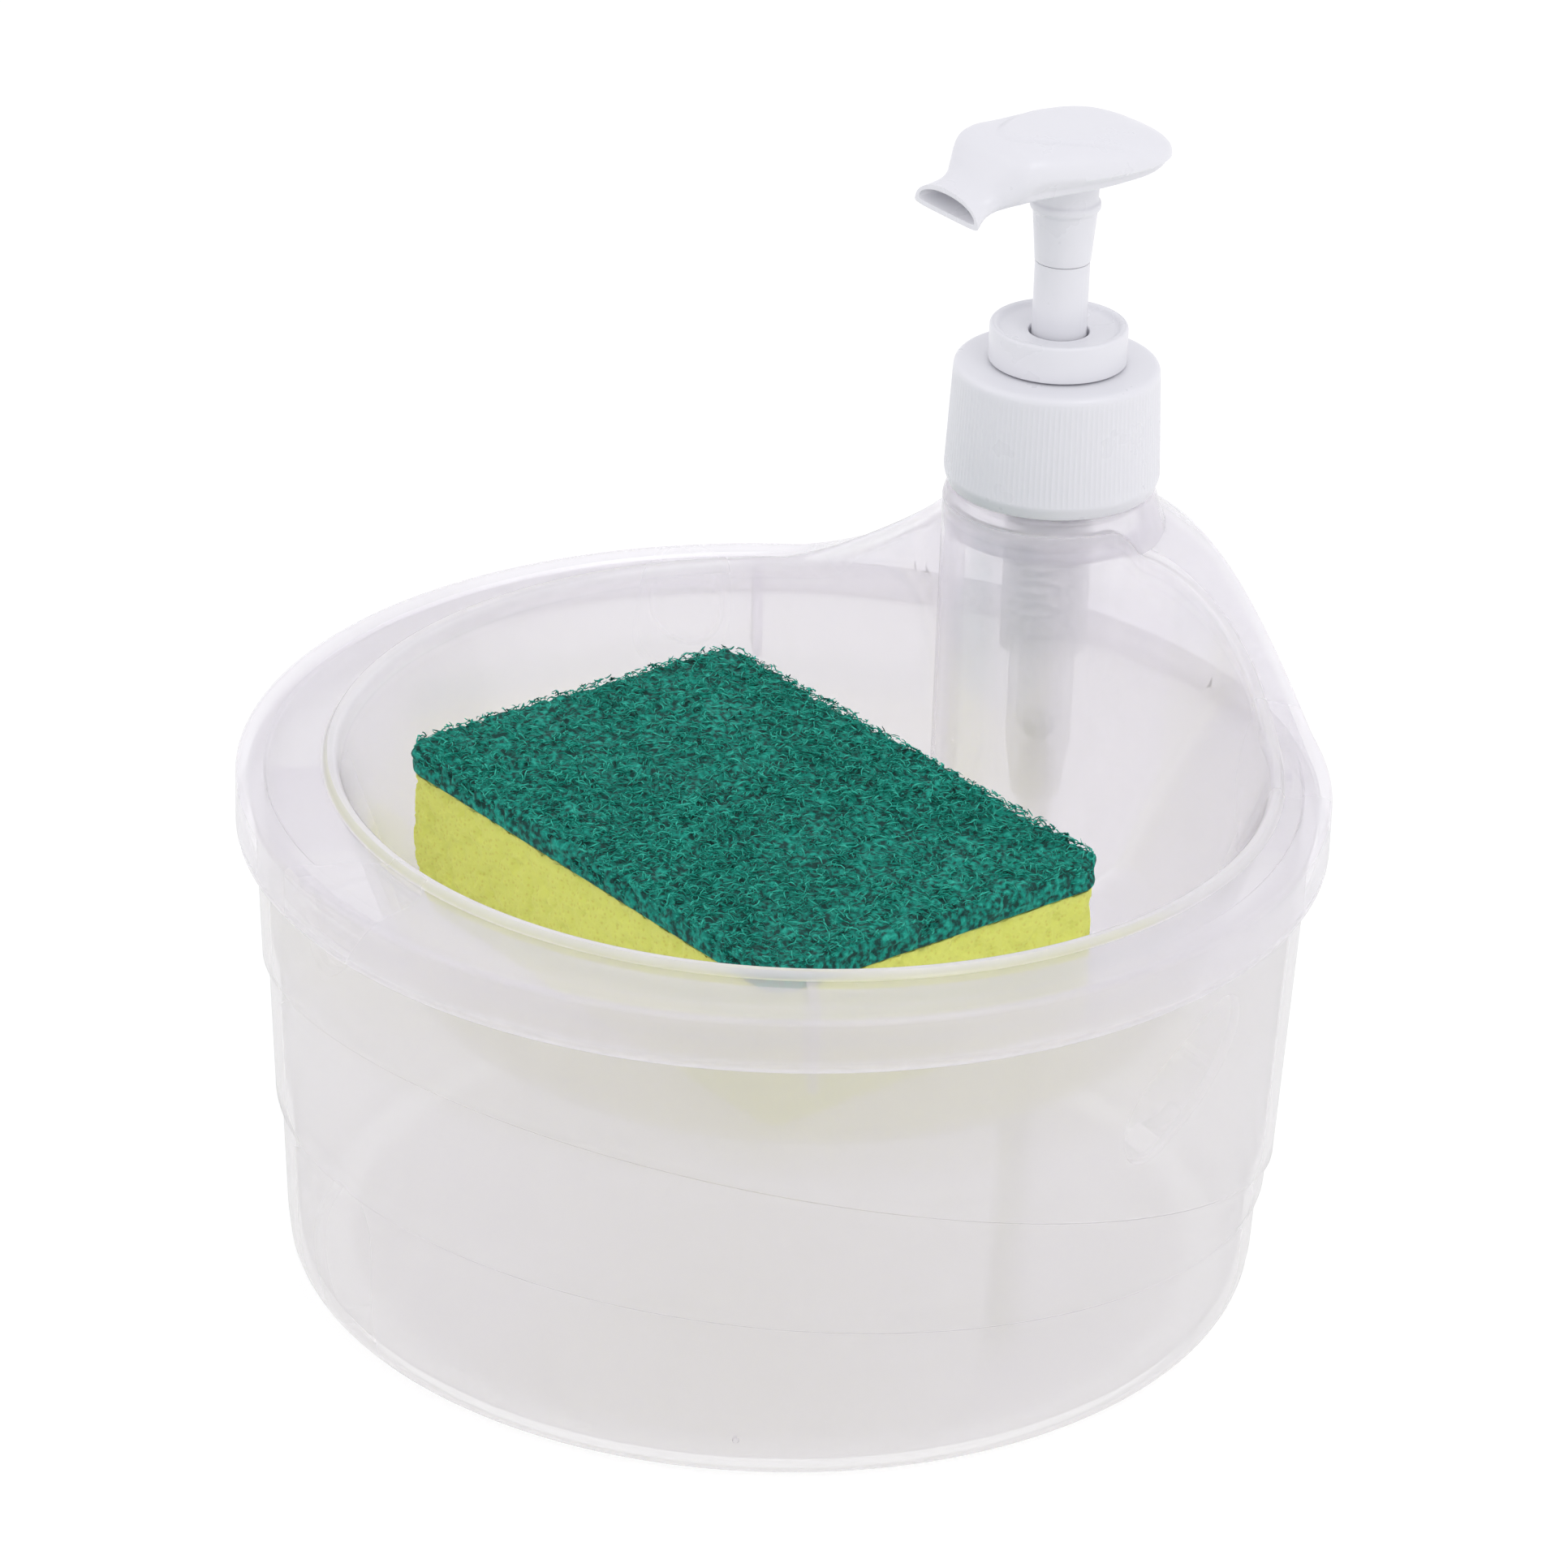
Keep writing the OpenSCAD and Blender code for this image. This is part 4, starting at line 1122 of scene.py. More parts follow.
    def hole(self, shell: Shell, rows: Array, numbers: Array, top_rows: Array,
             low_rows: Array) -> tuple[Array, Array]:
        """Cuts the hole for the neck: the cells inside its circle go, above and below alike,
        and the points round it move onto the circle.

        Args:
            shell: the piece, which has the grid's points and no others yet.
            rows: the grid's points.
            numbers: the grid's point numbers.
            top_rows: the rows above, from the crest outwards.
            low_rows: the rows below, in the same order.

        Returns:
            The faces that stay, and those of the hole's wall.
        """
        place = rows[top_rows]
        inside = np.hypot(place[..., 0], place[..., 1] - self.pump_y) < self.hole_r
        ahead = np.roll(inside, -1, axis=1)
        gone = inside[:-1] & inside[1:] & ahead[:-1] & ahead[1:]
        faces = shell.quads(numbers)
        keep = np.ones(faces.shape[:2], dtype=bool)
        keep[top_rows[:-1]] = keep[low_rows[1:]] = ~gone
        above, under = (np.concatenate([g, g[:, :1]], axis=1)
                        for g in (numbers[top_rows], numbers[low_rows]))
        walls = []
        # Each side of a cell: the neighbour beyond it, and the side's two corners.
        sides = ((np.roll(gone, 1, axis=0), (0, 0), (0, 1)),
                 (np.roll(gone, -1, axis=1), (0, 1), (1, 1)),
                 (np.roll(gone, -1, axis=0), (1, 1), (1, 0)),
                 (np.roll(gone, 1, axis=1), (1, 0), (0, 0)))
        everything = np.concatenate(shell.points)
        centre = np.array([0.0, self.pump_y])
        for beside, p, q in sides:
            m, j = np.nonzero(gone & ~beside)
            a, b = above[m + p[0], j + p[1]], above[m + q[0], j + q[1]]
            c, d = under[m + q[0], j + q[1]], under[m + p[0], j + p[1]]
            walls.append(np.stack([a, b, c, d], axis=-1))
            for ring, lift in ((a, self.upper), (b, self.upper), (c, self.lower),
                               (d, self.lower)):
                flat = everything[ring][:, :2] - centre
                everything[ring] = lift(unit(flat) * self.hole_r + centre)
        shell.points = [everything]
        return faces[keep], np.concatenate(walls)

    def neck(self, shell: Shell) -> None:
        """Adds the shoulder and neck: a turned ring that the bay's outline trims in front."""
        foot_r, foot_z = self.cone_foot
        ring = rounded([(foot_r, foot_z, 0.3), (self.cone_r, self.shoulder_z, 0.5),
                        (self.neck_r, self.shoulder_z, 0.3), (self.neck_r, self.neck_top, 0.4),
                        (self.bore_r, self.neck_top, 0.4), (self.bore_r, self.bore_z, 0.3),
                        (self.bore_foot_r, self.bore_z, 0.3), (self.bore_foot_r, foot_z, 0.3)])
        grid = revolved(refined(ring, 1.5), 160)
        turn = np.abs(np.arctan2(grid[..., 0], -grid[..., 1]))
        bay_y = self.pump_y - self.bowl_y
        touch = math.atan2(self.corner_x, bay_y - self.corner_y)
        between = math.hypot(self.corner_x, bay_y - self.corner_y)
        # Past the corner's end, 0.45 radians on, nothing is trimmed.
        beyond = np.clip(turn - touch, 0.0, 0.45)
        limit = between * np.cos(beyond) - np.sqrt(self.corner_r ** 2
                                                   - (between * np.sin(beyond)) ** 2)
        limit = np.where(turn > touch + 0.45, 99.0, limit) - 0.1
        radius = np.hypot(grid[..., 0], grid[..., 1])
        grid[..., :2] *= (np.minimum(radius, limit) / radius)[..., None]
        grid[..., 1] += self.pump_y
        shell.torus(grid)

    def webs(self, shell: Shell) -> None:
        """Adds the four thin webs under the flange: flat plates that follow the bowl's wall."""
        z = np.linspace(63.05, 75.6, 8)
        rho = self.wall_foot_r + (z - self.floor_z) * self.lean + 0.9
        far = np.full_like(z, 73.46)
        side = np.array([-self.web, -self.web, self.web, self.web]) / 2
        for turn in np.radians([45.0, 135.0, 225.0, 315.0]):
            near = self.bowl_y * math.sin(turn) + np.sqrt(
                rho ** 2 - (self.bowl_y * math.cos(turn)) ** 2)
            x, y = turned(np.stack([near, far, far, near], axis=1), side, turn)
            shell.capped(raised(np.stack([x, y], axis=-1), z[:, None]))


# Pump


@dataclass
class Pump:
    """The lotion pump's collar, lock ring and head, and the spring inside it."""

    axis_y: float = 58.0
    collar_z: float = 103.75
    collar_h: float = 19.0
    ribs: int = 120
    rib_deep: float = 0.07
    lock_z: float = 123.05
    lock_top: float = 128.75
    head_z: float = 152.0
    head_turn: float = 12.0
    sleeve_z: float = 138.6
    stations: int = 150
    ring_points: int = 128
    mouth_rings: int = 22
    spring_r: float = 4.2
    spring_z: tuple[float, float] = (78.37, 102.98)
    wire: float = 0.88
    coils: int = 8
    travel: float = 12.0
    bore_r: float = 14.3
    thread_z: float = 107.95
    thread_turns: float = 1.5

    # Along the head, from 15.4 behind the pump's axis to the mouth 22 before it: its half width,
    # the heights of its top and underside, how far up its edge line runs between them, and how
    # square its arch is.
    HALF_WIDTH = ((-6, 10.8), (-3, 10.85), (0, 10.8), (4, 10.5), (8, 9.9), (12, 9.2),
                  (14.5, 8.4), (16, 7.3), (17.4, 6.3), (19, 6.0), (20.5, 6.5), (22, 7.4))
    TOP = ((-15.4, 3.0), (-14.6, 4.3), (-13, 5.4), (-10, 6.7), (-6, 7.6), (0, 8.1), (4, 8.2),
           (8, 8.2), (12, 8.1), (14, 7.7), (15.3, 6.8), (16.3, 5.3), (17.5, 3.8), (19, 2.9),
           (20.5, 2.4), (22, 2.0))
    UNDERSIDE = ((-15.4, 2.2), (-13.5, 1.3), (-10, 0.7), (-5, 0.3), (0, 0.1), (8, 0.0),
                 (14, -0.3), (18, -1.1), (22, -2.4))
    EDGE_SHARE = ((-15.4, 0.45), (-10, 0.36), (4, 0.36), (14, 0.36), (18, 0.2), (22, 0.1))
    POWER = ((-15.4, 0.9), (-8, 0.78), (6, 0.66), (14, 0.54), (18, 0.78), (22, 0.95))

    def collar(self) -> Piece:
        """Makes the collar: an outline turned round the axis, with fine upright ribs as a wave
        of its radius, and a thread inside."""
        low, top = self.collar_z, self.collar_z + self.collar_h
        roof = low + 16.75
        outline = rounded([(self.bore_r, low, 0.25), (15.4, low, 0.25), (16.0, low + 1.8, 0.5),
                           (15.2, top - 0.1, 1.1), (8.8, top, 0.3), (8.8, roof, 0.2),
                           (self.bore_r, roof, 0.4)], 6)
        grid = revolved(refined(outline, 1.0), self.ribs * 8)
        turn = np.arctan2(grid[..., 1], grid[..., 0])
        radius = np.hypot(grid[..., 0], grid[..., 1])
        height = grid[..., 2] - low
        band = smooth((height - 2.0) / 0.6) * smooth((self.collar_h - 1.6 - height) / 0.6)
        band *= smooth((radius - 14.8) / 0.2)
        wave = (1 + np.cos(self.ribs * turn)) / 2
        grid[..., :2] *= (1 - self.rib_deep * band * (1 - wave ** 2) / radius)[..., None]
        grid[..., 1] += self.axis_y
        shell = Shell()
        shell.torus(grid)
        Thread().ridge(shell, self.bore_r, self.thread_z, self.thread_turns, Facing.INWARD,
                       self.axis_y)
        return shell.object("collar_ribbed", 50.0)

    def spring(self) -> Piece:
        """Makes the return spring, a round wire with a closed coil at each end."""
        per_coil, sides, dead = 40, 10, self.wire * 1.05
        turns = np.arange(self.coils * per_coil + 1) / per_coil
        low, high = self.spring_z[0] + self.wire / 2, self.spring_z[1] - self.wire / 2
        room = high - low
        rise = np.interp(turns, [0, 1, self.coils - 1, self.coils],
                         [0.0, dead, room - dead, room])
        ring = circle(sides)
        radius = self.spring_r + self.wire / 2 * np.cos(ring)
        height = (low + rise)[:, None] + self.wire / 2 * np.sin(ring)
        shell = Shell()
        shell.capped(around(radius, (turns * 2 * math.pi)[:, None], height, self.axis_y))
        return shell.object("pump_spring_wire", 60.0)

    def lock_ring(self) -> Piece:
        """Makes the lock ring: a cap with a dished top, a raised rim and a guide sleeve."""
        low, top = self.lock_z, self.lock_top
        bore, sleeve, inside, outside = 4.45, 6.0, 8.43, 10.2
        foot, roof, dish = 109.8, 126.3, top - 1.15
        outline = rounded([(bore, foot, 0.2), (sleeve, foot, 0.2), (sleeve, roof, 0.2),
                           (inside, roof, 0.2), (inside, low, 0.15), (outside, low, 0.2),
                           (outside, top - 0.15, 0.5), (9.3, top, 0.5), (8.6, top - 0.75, 0.5),
                           (5.6, dish, 0.5), (bore, dish, 0.3)], 6)
        shell = Shell()
        shell.torus(revolved(refined(outline, 1.2), 128, self.axis_y))
        return shell.object("lock_ring_cap", 50.0)

    def sections(self) -> tuple[Array, Array, Array]:
        """Sections of the head from the pad's back edge to the spout's mouth.

        Each is a ring whose upper half is a rounded arch and whose lower half is flat, with a
        channel that opens under the spout: |x/w|^n + |z/h|^n = 1 above the edge line.

        Returns:
            The sections' places along the head, and their points' places across and heights.
        """
        at = np.concatenate([-15.4 + 7.4 * (1 - np.cos(np.linspace(0.13, 1.0, 40)
                                                       * math.pi / 2)),
                             np.linspace(-8.0, 22.0, self.stations - 39)[1:]])
        # Behind the axis the outline in plan closes as a rounded, slightly square back.
        square = 2.4
        behind = np.clip((-5.0 - at) / 10.4, 0.0, 1.0)
        half = curve(self.HALF_WIDTH, at) * (1 - behind ** square) ** (1 / square)
        top, low = curve(self.TOP, at), curve(self.UNDERSIDE, at)
        edge = low + (top - low) * curve(self.EDGE_SHARE, at)
        arch = np.linspace(0.0, math.pi, self.ring_points // 2 + 1)[:-1]
        power = curve(self.POWER, at)[:, None]
        reach, climb = np.cos(arch), np.sin(arch)
        x_top = half[:, None] * np.sign(reach) * np.abs(reach) ** power
        z_top = edge[:, None] + (top - edge)[:, None] * climb ** power
        dish = 0.45 * np.exp(-(x_top / 6.0) ** 2 - ((at[:, None] + 3.0) / 7.5) ** 2)
        # The thumb pad ends in front at a bowed crease.
        brow = at[:, None] - (12.3 - 9.8 * (x_top / 7.7) ** 2)
        dish = dish + 0.4 * np.exp(-(brow / 0.8) ** 2) + 0.25 * smooth(brow / 1.2)
        z_top = z_top - dish * climb
        floor = np.linspace(-1.0, 1.0, self.ring_points // 2 + 1)[:-1]
        x_low = half[:, None] * floor * (1 - 0.12 * smooth((np.abs(floor) - 0.8) / 0.2)
                                         * (1 - smooth((at[:, None] - 12) / 4)))
        bow = (1 - np.abs(floor) ** 6)
        z_low = edge[:, None] + (low - edge)[:, None] * bow ** 0.5
        return (at, np.concatenate([x_top, x_low], axis=1),
                self.head_z + np.concatenate([z_top, z_low], axis=1))

    def end_cap(self, row: Array, flip: bool) -> list[Array]:
        """Closes a section with a strip between its arch and its floor and a triangle at each
        side.

        Args:
            row: the section's point numbers.
            flip: whether the faces turn the other way round.

        Returns:
            The strip's faces and the triangles.
        """
        middle = self.ring_points // 2
        upper, lower = row[1:middle], row[:middle:-1]
        strip = np.stack([upper[:-1], upper[1:], lower[1:], lower[:-1]], axis=-1)
        ends = np.array([[row[0], upper[0], lower[0]], [row[middle], lower[-1], upper[-1]]])
        return [faces[:, ::-1] if flip else faces for faces in (strip, ends)]

    def head(self) -> Piece:
        """Makes the head from its sections, with a hollow mouth and a sleeve over the stem."""
        at, side, z = self.sections()
        # The mouth: from the last section its rings turn inwards and run back as a hollow.
        last = slice(-1, -self.mouth_rings - 1, -1)
        middle = (z[last].max(axis=1) + z[last].min(axis=1))[:, None] / 2
        side = np.concatenate([side, side[last] * 0.88])
        z = np.concatenate([z, middle + (z[last] - middle) * 0.64])
        x, back = turned(side, np.concatenate([at, at[last]])[:, None],
                         math.radians(self.head_turn))
        shell = Shell()
        numbers = shell.add(np.stack([x, self.axis_y - back, z], axis=-1))
        shell.close(shell.quads(numbers), *self.end_cap(numbers[0], False),
                    *self.end_cap(numbers[-1], True))
        # Sleeve over the stem, with the ring at its top; it ends inside the head.
        low_z, top_z, end_z = self.sleeve_z, self.sleeve_z + 9.2, self.head_z + 2.0
        bore_r = 3.03
        outline = rounded([(bore_r, low_z, 0.15), (4.12, low_z, 0.25), (4.75, top_z - 1.4, 0.3),
                           (5.2, top_z - 0.9, 0.3), (5.2, top_z, 0.3), (4.8, top_z + 0.4, 0.3),
                           (4.9, end_z, 0.2), (bore_r, end_z, 0.2)])
        shell.torus(revolved(refined(outline, 1.0), 96, self.axis_y))
        return shell.object("pump_head_moulding", 50.0)


# Sponge


@dataclass
class Sponge:
    """The sponge: foam below, a scouring pad above, laid slightly turned in the bowl."""

    lid: Lid
    length: float = 88.9
    width: float = 60.4
    corner: float = 4.3
    centre: tuple[float, float] = (-5.1, -1.55)
    turn: float = -10.2
    foam_z: float = 43.9
    scour_z: float = 65.7
    top_z: float = 70.1
    clear: float = 0.3
    columns: int = 420

    def loop(self, inset: float) -> Array:
        """The outline as a rounded rectangle, evenly spaced by length, about its own middle.

        Args:
            inset: how far it is drawn in.

        Returns:
            One plan point for each column.
        """
        corner = self.corner - inset
        arc = np.radians(np.linspace(0, 90, 16))
        quarter = np.stack([np.cos(arc), np.sin(arc)], axis=1) * corner
        quarter += np.array([self.length / 2 - self.corner, self.width / 2 - self.corner])
        path = np.concatenate([quarter, quarter[::-1] * [-1, 1], quarter * [-1, -1],
                               quarter[::-1] * [1, -1], quarter[:1]])
        walk = np.concatenate([[0], np.cumsum(np.linalg.norm(np.diff(path, axis=0), axis=1))])
        at = np.arange(self.columns) / self.columns * walk[-1]
        return np.stack([np.interp(at, walk, path[:, 0]), np.interp(at, walk, path[:, 1])],
                        axis=1)

    def placed(self, points: Array) -> Array:
        """Turns and moves points about the sponge's middle to their place in the bowl.

        Args:
            points: points whose first two numbers are in the sponge's own plan.

        Returns:
            The points in the part's frame.
        """
        x, y = turned(points[..., 0], points[..., 1], math.radians(self.turn))
        return np.stack([x + self.centre[0], y + self.centre[1], points[..., 2]], axis=-1)

    def pressed(self, points: Array) -> Array:
        """Presses placed points in where the bowl stands: a point further from the bowl's
        middle than its wall or its rounded lower corner at that height is drawn in, clear
        of it."""
        lid = self.lid
        centre = np.array([0.0, lid.bowl_y])
        plan = points[..., :2] - centre
        far = np.linalg.norm(plan, axis=-1)
        height = points[..., 2] - lid.floor_z
        fillet = lid.fillet - self.clear
        low = np.clip(lid.fillet - height, 0.0, fillet)
        curve_r = lid.floor_r + np.sqrt(fillet ** 2 - low ** 2)
        wall_r = lid.wall_foot_r + height * lid.lean - lid.slant(self.clear)
        limit = np.where(height < lid.fillet, np.minimum(curve_r, wall_r), wall_r)
        share = np.minimum(1.0, limit / np.maximum(far, 1.0))[..., None]
        return raised(plan * share + centre, points[..., 2])

    @staticmethod
    def outwards(along: Array) -> Array:
        """Unit directions to the right of steps along the outline, which lead out of it."""
        return unit(np.stack([along[:, 1], -along[:, 0]], axis=1))

    def slab(self, low: float, top: float, low_round: float, top_round: float, rings: int,
             rows: int) -> tuple[Array, Array]:
        """A closed slab as a grid of loops: over the top, down the side and under the bottom.

        Args:
            low: height of its underside.
            top: height of its top.
            low_round: radius of the lower edge.
            top_round: radius of the upper edge.
            rings: loops on the top and on the bottom.
            rows: loops down the side.

        Returns:
            The points in the sponge's own plan, and the directions away from the slab.
        """
        arc = np.radians(np.linspace(90, 0, 5))
        levels = [(top_round * (1 - math.cos(a)), top - top_round * (1 - math.sin(a)), a)
                  for a in arc]
        side = np.linspace(top - top_round, low + low_round, rows)[1:-1]
        levels += [(0.0, z, 0.0) for z in side]
        levels += [(low_round * (1 - math.cos(a)), low + low_round * (1 - math.sin(a)), -a)
                   for a in arc[::-1]]
        loops = np.stack([self.loop(inset) for inset, _, _ in levels])
        height, tilt = np.array(levels)[:, 1:2], np.array(levels)[:, 2:3]
        base = self.loop(0.0)
        out = self.outwards(np.roll(base, -1, axis=0) - np.roll(base, 1, axis=0))
        body = raised(loops, height)
        away = raised(out * np.cos(tilt)[..., None], np.sin(tilt))
        share = (np.arange(1, rings) / rings)[:, None, None]
        over = raised(loops[0] * share, top)
        under = raised(loops[-1] * share[::-1], low)
        up = np.broadcast_to(np.array([0.0, 0.0, 1.0]), over.shape)
        return np.concatenate([over, body, under]), np.concatenate([up, away, -up])

    def foam(self) -> Piece:
        """Makes the foam: a slab whose skin is pitted where a fine noise runs high."""
        points, away = self.slab(self.foam_z, self.scour_z + 0.2, 1.8, 0.5, 24, 30)
        # Pits of two sizes, and a slow slackness of the whole skin.
        pits = lattice_noise(points, 1.3, 11)
        fine = lattice_noise(points, 0.7, 12)
        slack = lattice_noise(points, 17.0, 13)
        depth = 0.5 * smooth((pits - 0.5) / 0.3) + 0.3 * smooth((fine - 0.5) / 0.3)
        points = points - away * (depth + 0.5 * slack)[..., None]
        shell = Shell()
        shell.capped(self.pressed(self.placed(points)))
        return shell.object("sponge_foam_body", 180.0)

    def scour(self) -> Piece:
        """Makes the scouring pad's body: a slab with a coarse, matted skin."""
        points, away = self.slab(self.scour_z, self.top_z - 0.5, 0.4, 0.7, 64, 9)
        # Tufts of two sizes on slow swells, which fade out down the side.
        mat = (lattice_noise(points, 1.6, 21) - 0.5) * 0.9
        mat += (lattice_noise(points, 0.9, 22) - 0.5) * 0.9
        swell = (lattice_noise(points, 12.0, 23) - 0.5) * 0.8
        lift = (mat + swell)[..., None]
        on_top = np.clip((points[..., 2:3] - self.scour_z) / 2.0, 0.0, 1.0)
        shell = Shell()
        shell.capped(self.placed(points + away * lift * on_top))
        # Painted shade: the body's own number is low between the tufts and higher on their tops,
        # so the gaps come out darker.
        tint = 0.05 + 0.35 * (mat + 0.9) / 1.8
        shell.tints = [tint.ravel(), np.array([0.3, 0.3])]
        return shell.object("scouring_pad_body", 180.0)

    def fibres(self, count: int = 9000) -> Piece:
        """Makes the pad's loose fibres: three sided tubes bent into short arcs that lie on the
        pad or stand off its edge.

        A fibre's middle line is its start plus its way times s, plus its sideways bend times s
        squared, plus its lift times 4 s (1 - s).

        Args:
            count: number of fibres.

        Returns:
            The object.
        """
        rng = np.random.default_rng(7)

        def draw(least: float, span: float) -> Array:
            """An even random number for each fibre."""
            return least + span * rng.random(count)

        def bell(spread: float) -> Array:
            """A random number for each fibre, most often near 0."""
            return spread * rng.standard_normal(count)

        # Three in ten stand at the pad's edge and the others lie on its top.
        side = rng.random(count) < 0.3
        loop = self.loop(0.0)
        pick = rng.integers(0, len(loop), count)
        spread = np.where(side, 1.0, np.sqrt(rng.random(count)))[:, None]
        start = loop[pick] * spread * 0.99
        out = self.outwards(np.roll(loop, -1, axis=0) - loop)[pick]
        height = np.where(side, self.scour_z + draw(0.6, 4.0), self.top_z + draw(-0.45, 0.55))
        origin = raised(start, height)
        turn = draw(0.0, 2 * math.pi)
        flat = np.stack([np.cos(turn), np.sin(turn), bell(0.12)], axis=1)
        edgewise = (np.stack([-out[:, 1], out[:, 0]], axis=1)
                    * rng.choice([-1.0, 1.0], count)[:, None] + out * draw(0.0, 0.25)[:, None])
        along = raised(edgewise, bell(0.5))
        way = unit(np.where(side[:, None], along, flat))
        length = np.where(side, draw(0.5, 0.9), draw(0.9, 1.7))[:, None]
        up = np.where(side[:, None], raised(out, 0.0), np.array([0.0, 0.0, 1.0]))
        across = np.cross(way, up)
        bend = across * bell(0.35)[:, None] * length
        lift = up * (0.1 + np.where(side, 0.25, 0.5) * draw(0.0, 1.0) ** 2)[:, None]
        s = np.linspace(0.0, 1.0, 4)[None, :, None]
        path = (origin[:, None] + (way * length)[:, None] * (s - 0.5)
                + bend[:, None] * (s - 0.5) ** 2 * 2 + lift[:, None] * 4 * s * (1 - s))
        # No fibre reaches further than half a millimetre over the pad's edge.
        reach = np.array([self.length / 2 + 0.5, self.width / 2 + 0.5])
        path[..., :2] = np.clip(path[..., :2], -reach, reach)
        spin = circle(3)
        radius = draw(0.07, 0.07)[:, None, None, None]
        ring = (across[:, None, None] * np.cos(spin)[None, None, :, None]
                + up[:, None, None] * np.sin(spin)[None, None, :, None]) * radius
        taper = np.array([0.6, 1.0, 1.0, 0.6])[None, :, None, None]
        grid = path[:, :, None] + ring * taper
        shell = Shell()
        numbers = shell.add(self.placed(grid))
        shell.close(shell.quads(numbers), numbers[:, 0, ::-1], numbers[:, -1])
        # Each fibre's own random tone, set lighter than the pad's body, so the body beneath shows
        # as painted shade under the fibres.
        shell.tints = [np.repeat(draw(0.15, 0.75), numbers[0].size)]
        return shell.object("scouring_pad_fibres", 180.0)


# Stage


@dataclass
class Studio:
    """The plain floor, the soft light and the camera at the photograph's angle."""

    target: tuple[float, float, float] = (0.0, 0.0, 0.07349)
    elevation: float = 25.97
    azimuth: float = 40.9
    roll: float = 1.93
    distance: float = 0.93443
    focal_px: float = 8000.0
    picture_px: int = 1932
    sensor_mm: float = 36.0

    def camera(self) -> None:
        """Makes the camera: it looks at the target from azimuth and elevation, then rolls."""
        up, turn = math.radians(self.elevation), math.radians(self.azimuth)
        ahead = Vector((-math.sin(turn) * math.cos(up), math.cos(turn) * math.cos(up),
                        -math.sin(up)))
        place = Vector(self.target) - ahead * self.distance
        quaternion = ahead.to_track_quat("-Z", "Y")
        rolled = quaternion.to_matrix() @ Matrix.Rotation(math.radians(self.roll), 3, "Z")
        lens = bpy.data.cameras.new("camera")
        lens.sensor_width = self.sensor_mm
        lens.lens = self.focal_px / self.picture_px * self.sensor_mm
        lens.clip_start, lens.clip_end = 0.05, 20.0
        holder = bpy.data.objects.new("camera", lens)
        holder.matrix_world = Matrix.Translation(place) @ rolled.to_4x4()
        bpy.context.scene.collection.objects.link(holder)
        bpy.context.scene.camera = holder

    def floor(self) -> None:
        """Makes the pale floor, a level sheet six metres wide that glows a little."""
        across = np.linspace(-3000.0, 3000.0, 13)
        plan = np.stack(np.meshgrid(across, across), axis=-1)
        shell = Shell()
        numbers = shell.add(raised(plan, 0.0))
        shell.faces.append(shell.quads(numbers, wrap_columns=False).reshape(-1, 4))
        sheet = shell.object("floor")
        material = bpy.data.materials.new("pale_paper")
        material.use_nodes = True
        tree = material.node_tree
        shader = tree.nodes["Principled BSDF"]
        shader.inputs["Base Color"].default_value = linear("#959595")
        shader.inputs["Roughness"].default_value = 0.9
        shader.inputs["Emission Color"].default_value = linear("#FFFFFF")
        shader.inputs["Emission Strength"].default_value = 0.74
        dress(sheet, material)

    def light(self) -> None:
        """Sets a white surround and large soft lamps."""
        world = bpy.data.worlds.new("surround")
        bpy.context.scene.world = world
        world.use_nodes = True
        background = world.node_tree.nodes["Background"]
        background.inputs["Color"].default_value = (0.97, 0.965, 1.0, 1.0)
        background.inputs["Strength"].default_value = 0.97
        for name, place, size, power in (("key", (0.9, -0.1, 1.2), 0.7, 3.0),
                                         ("fill", (-0.9, -0.7, 0.9), 0.8, 1.0)):
            lamp = bpy.data.lights.new(name, "AREA")
            lamp.size, lamp.energy = size, power
            holder = bpy.data.objects.new(name, lamp)
            holder.location = place
            aim = Vector((0.0, 0.0, 0.07)) - Vector(place)
            holder.rotation_mode = "QUATERNION"
            holder.rotation_quaternion = aim.to_track_quat("-Z", "Y")
            bpy.context.scene.collection.objects.link(holder)
        scene = bpy.context.scene
        scene.view_settings.view_transform = "Standard"
        # Light has to get through many walls of tub and lid before it dies away.
        scene.cycles.max_bounces = scene.cycles.transmission_bounces = 16
        scene.cycles.diffuse_bounces, scene.cycles.glossy_bounces = 10, 6
        scene.cycles.transparent_max_bounces = 24


def corners(box: tuple[Vector, Vector]) -> list[list[float]]:
    """A box's two corners as plain lists."""
    return [[float(v) for v in corner] for corner in box]


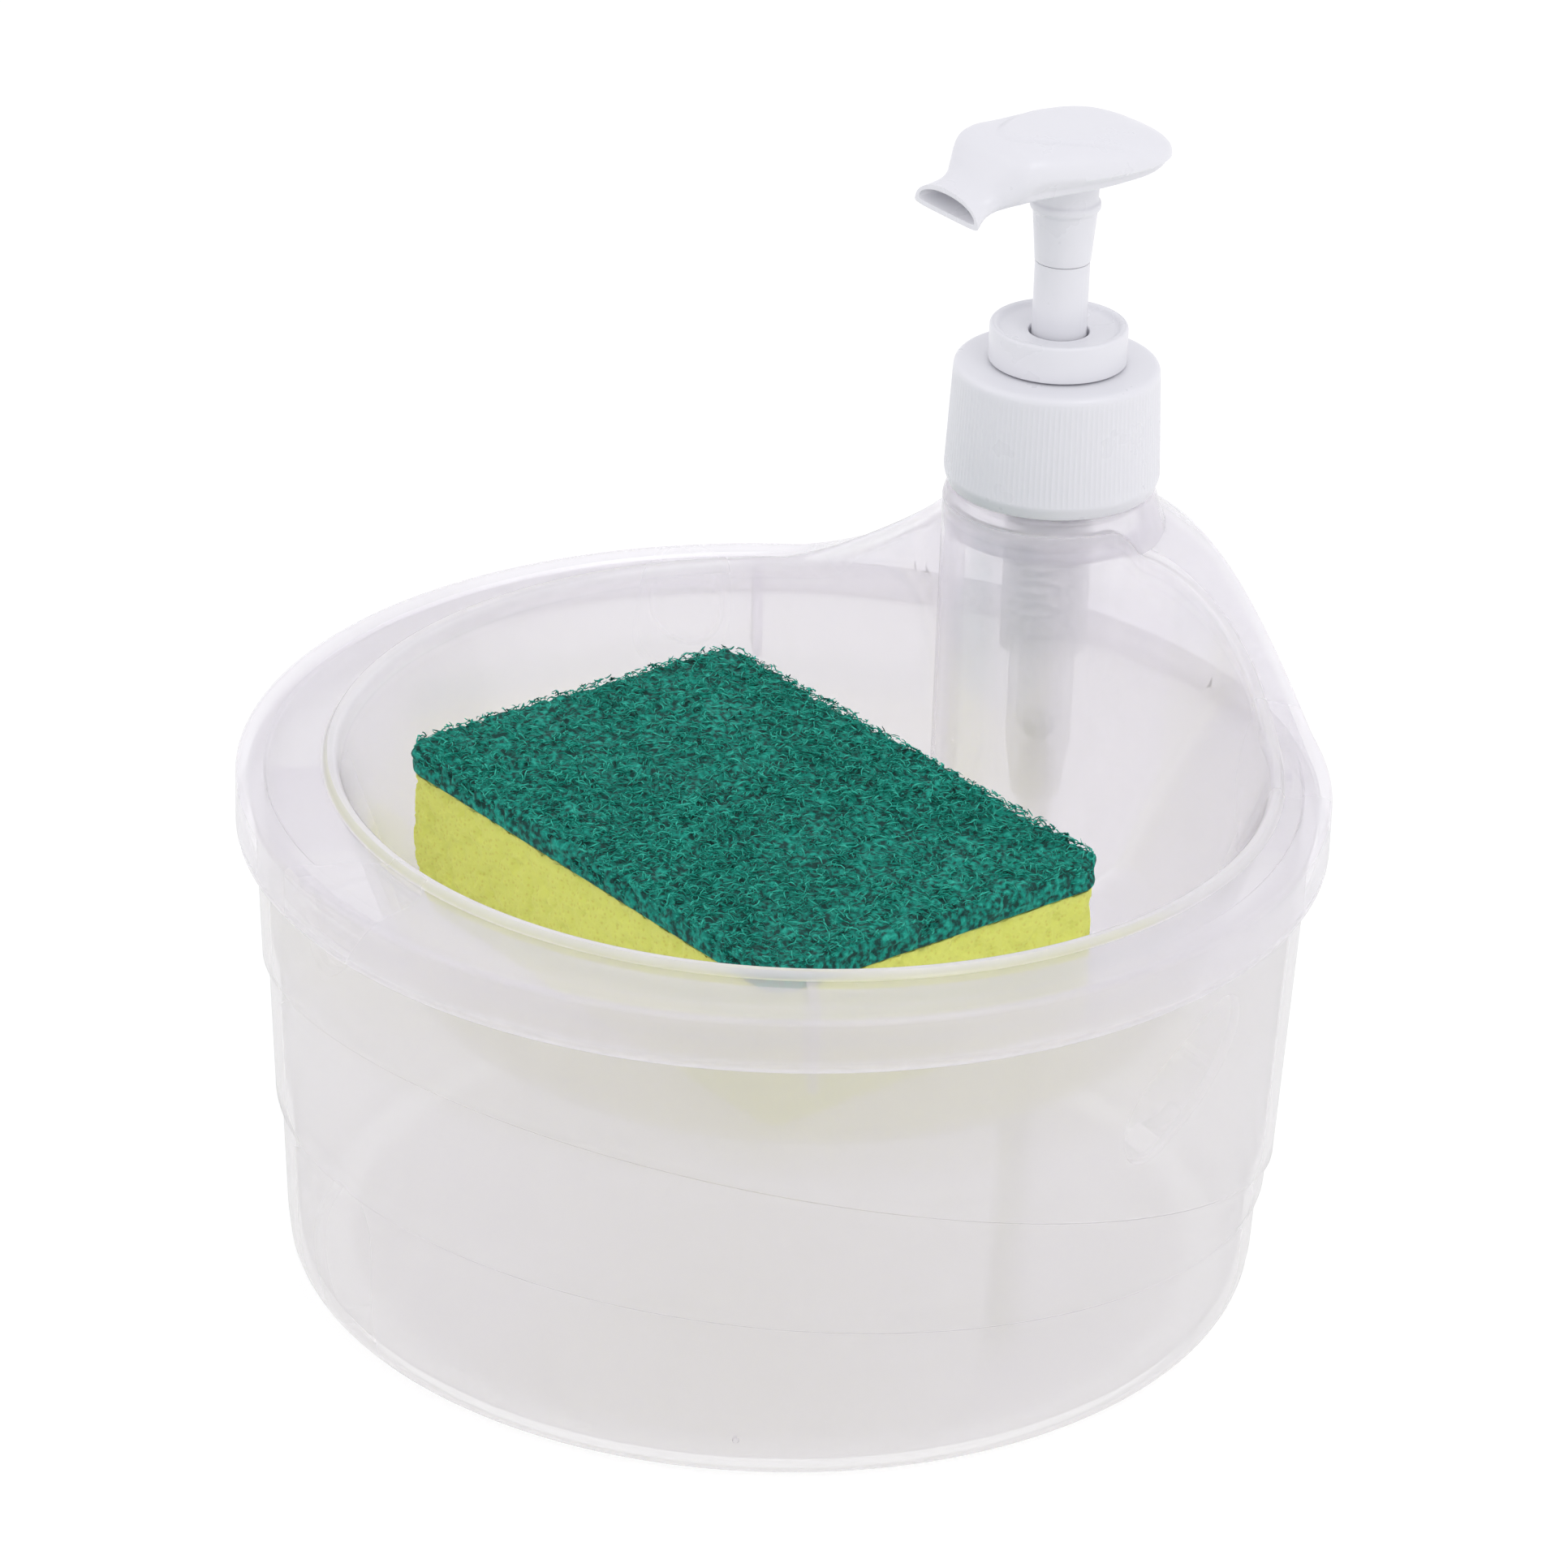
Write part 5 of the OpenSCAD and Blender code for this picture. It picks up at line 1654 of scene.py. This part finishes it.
def main() -> None:
    """Builds the sub-assemblies in order, dresses them and sets the stage."""
    logging.basicConfig(level=logging.INFO, format="%(name)s: %(message)s")
    studio = Studio()
    studio.camera()
    studio.floor()
    studio.light()

    clear = Frosted("frosted_polypropylene", "#FEFDFF", through=0.75, milky=0.25,
                    straight=0.67).material()
    cream = Frosted("frosted_polypropylene_tub", "#F9F8F9", through=0.7, milky=0.3,
                    straight=0.6).material()
    white = Moulded("white_polypropylene", "#E1E1E5").material()
    natural = Frosted("natural_polypropylene", "#FFFFFF", rough=0.35, through=0.2, milky=0.6,
                      straight=0.5, gloss=0.3).material()
    tube = Frosted("clear_polyethylene", "#FDFDFC", through=0.5, milky=0.3, straight=0.8,
                   gloss=0.25).material()
    seal = Moulded("soft_seal_rubber", "#D8D8D4", rough=0.6, glow=0.0).material()
    ball = Steel("polished_steel", "#D4D6DA", rough=0.08).material()
    wire = Steel("drawn_steel_wire", "#D2D3D6", rough=0.3).material()
    foam = OpenFoam("open_cell_foam", "#E4EA74").material()
    fleece = ScourFibre("scouring_fleece", "#06927F").material()

    finish_piece(Tub().build(), "tub", cream, Slot.CLEAR, "tub")
    lid = Lid()
    finish_piece(lid.build(), "lid", clear, Slot.CLEAR, "lid")
    pump = Pump()
    finish_piece(pump.collar(), "collar", white, Slot.WHITE, "collar")
    finish_piece(pump.lock_ring(), "pump", white, Slot.WHITE, "lock_ring")
    finish_piece(pump.head(), "head", white, Slot.WHITE, "pump_head")
    spring = finish_piece(pump.spring(), "pump", wire, Slot.SPRING, "pump_spring")
    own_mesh(spring)
    sponge = Sponge(lid)
    block = finish_piece(sponge.foam(), "sponge", foam, Slot.FOAM, "sponge_foam")
    pad = finish_piece(sponge.scour(), "sponge", fleece, Slot.SCOUR, "scouring_pad")
    finish_piece(sponge.fibres(), "sponge", fleece, Slot.SCOUR)
    for node, material in (("stem", white), ("neck_gasket", seal), ("pump_housing", natural),
                           ("piston", natural), ("dip_tube", tube), ("inlet_ball", ball),
                           ("outlet_ball", ball)):
        dress(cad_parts[node], material)
        log.info("%s: kept from the part", node)


if __name__ == "__main__":
    main()
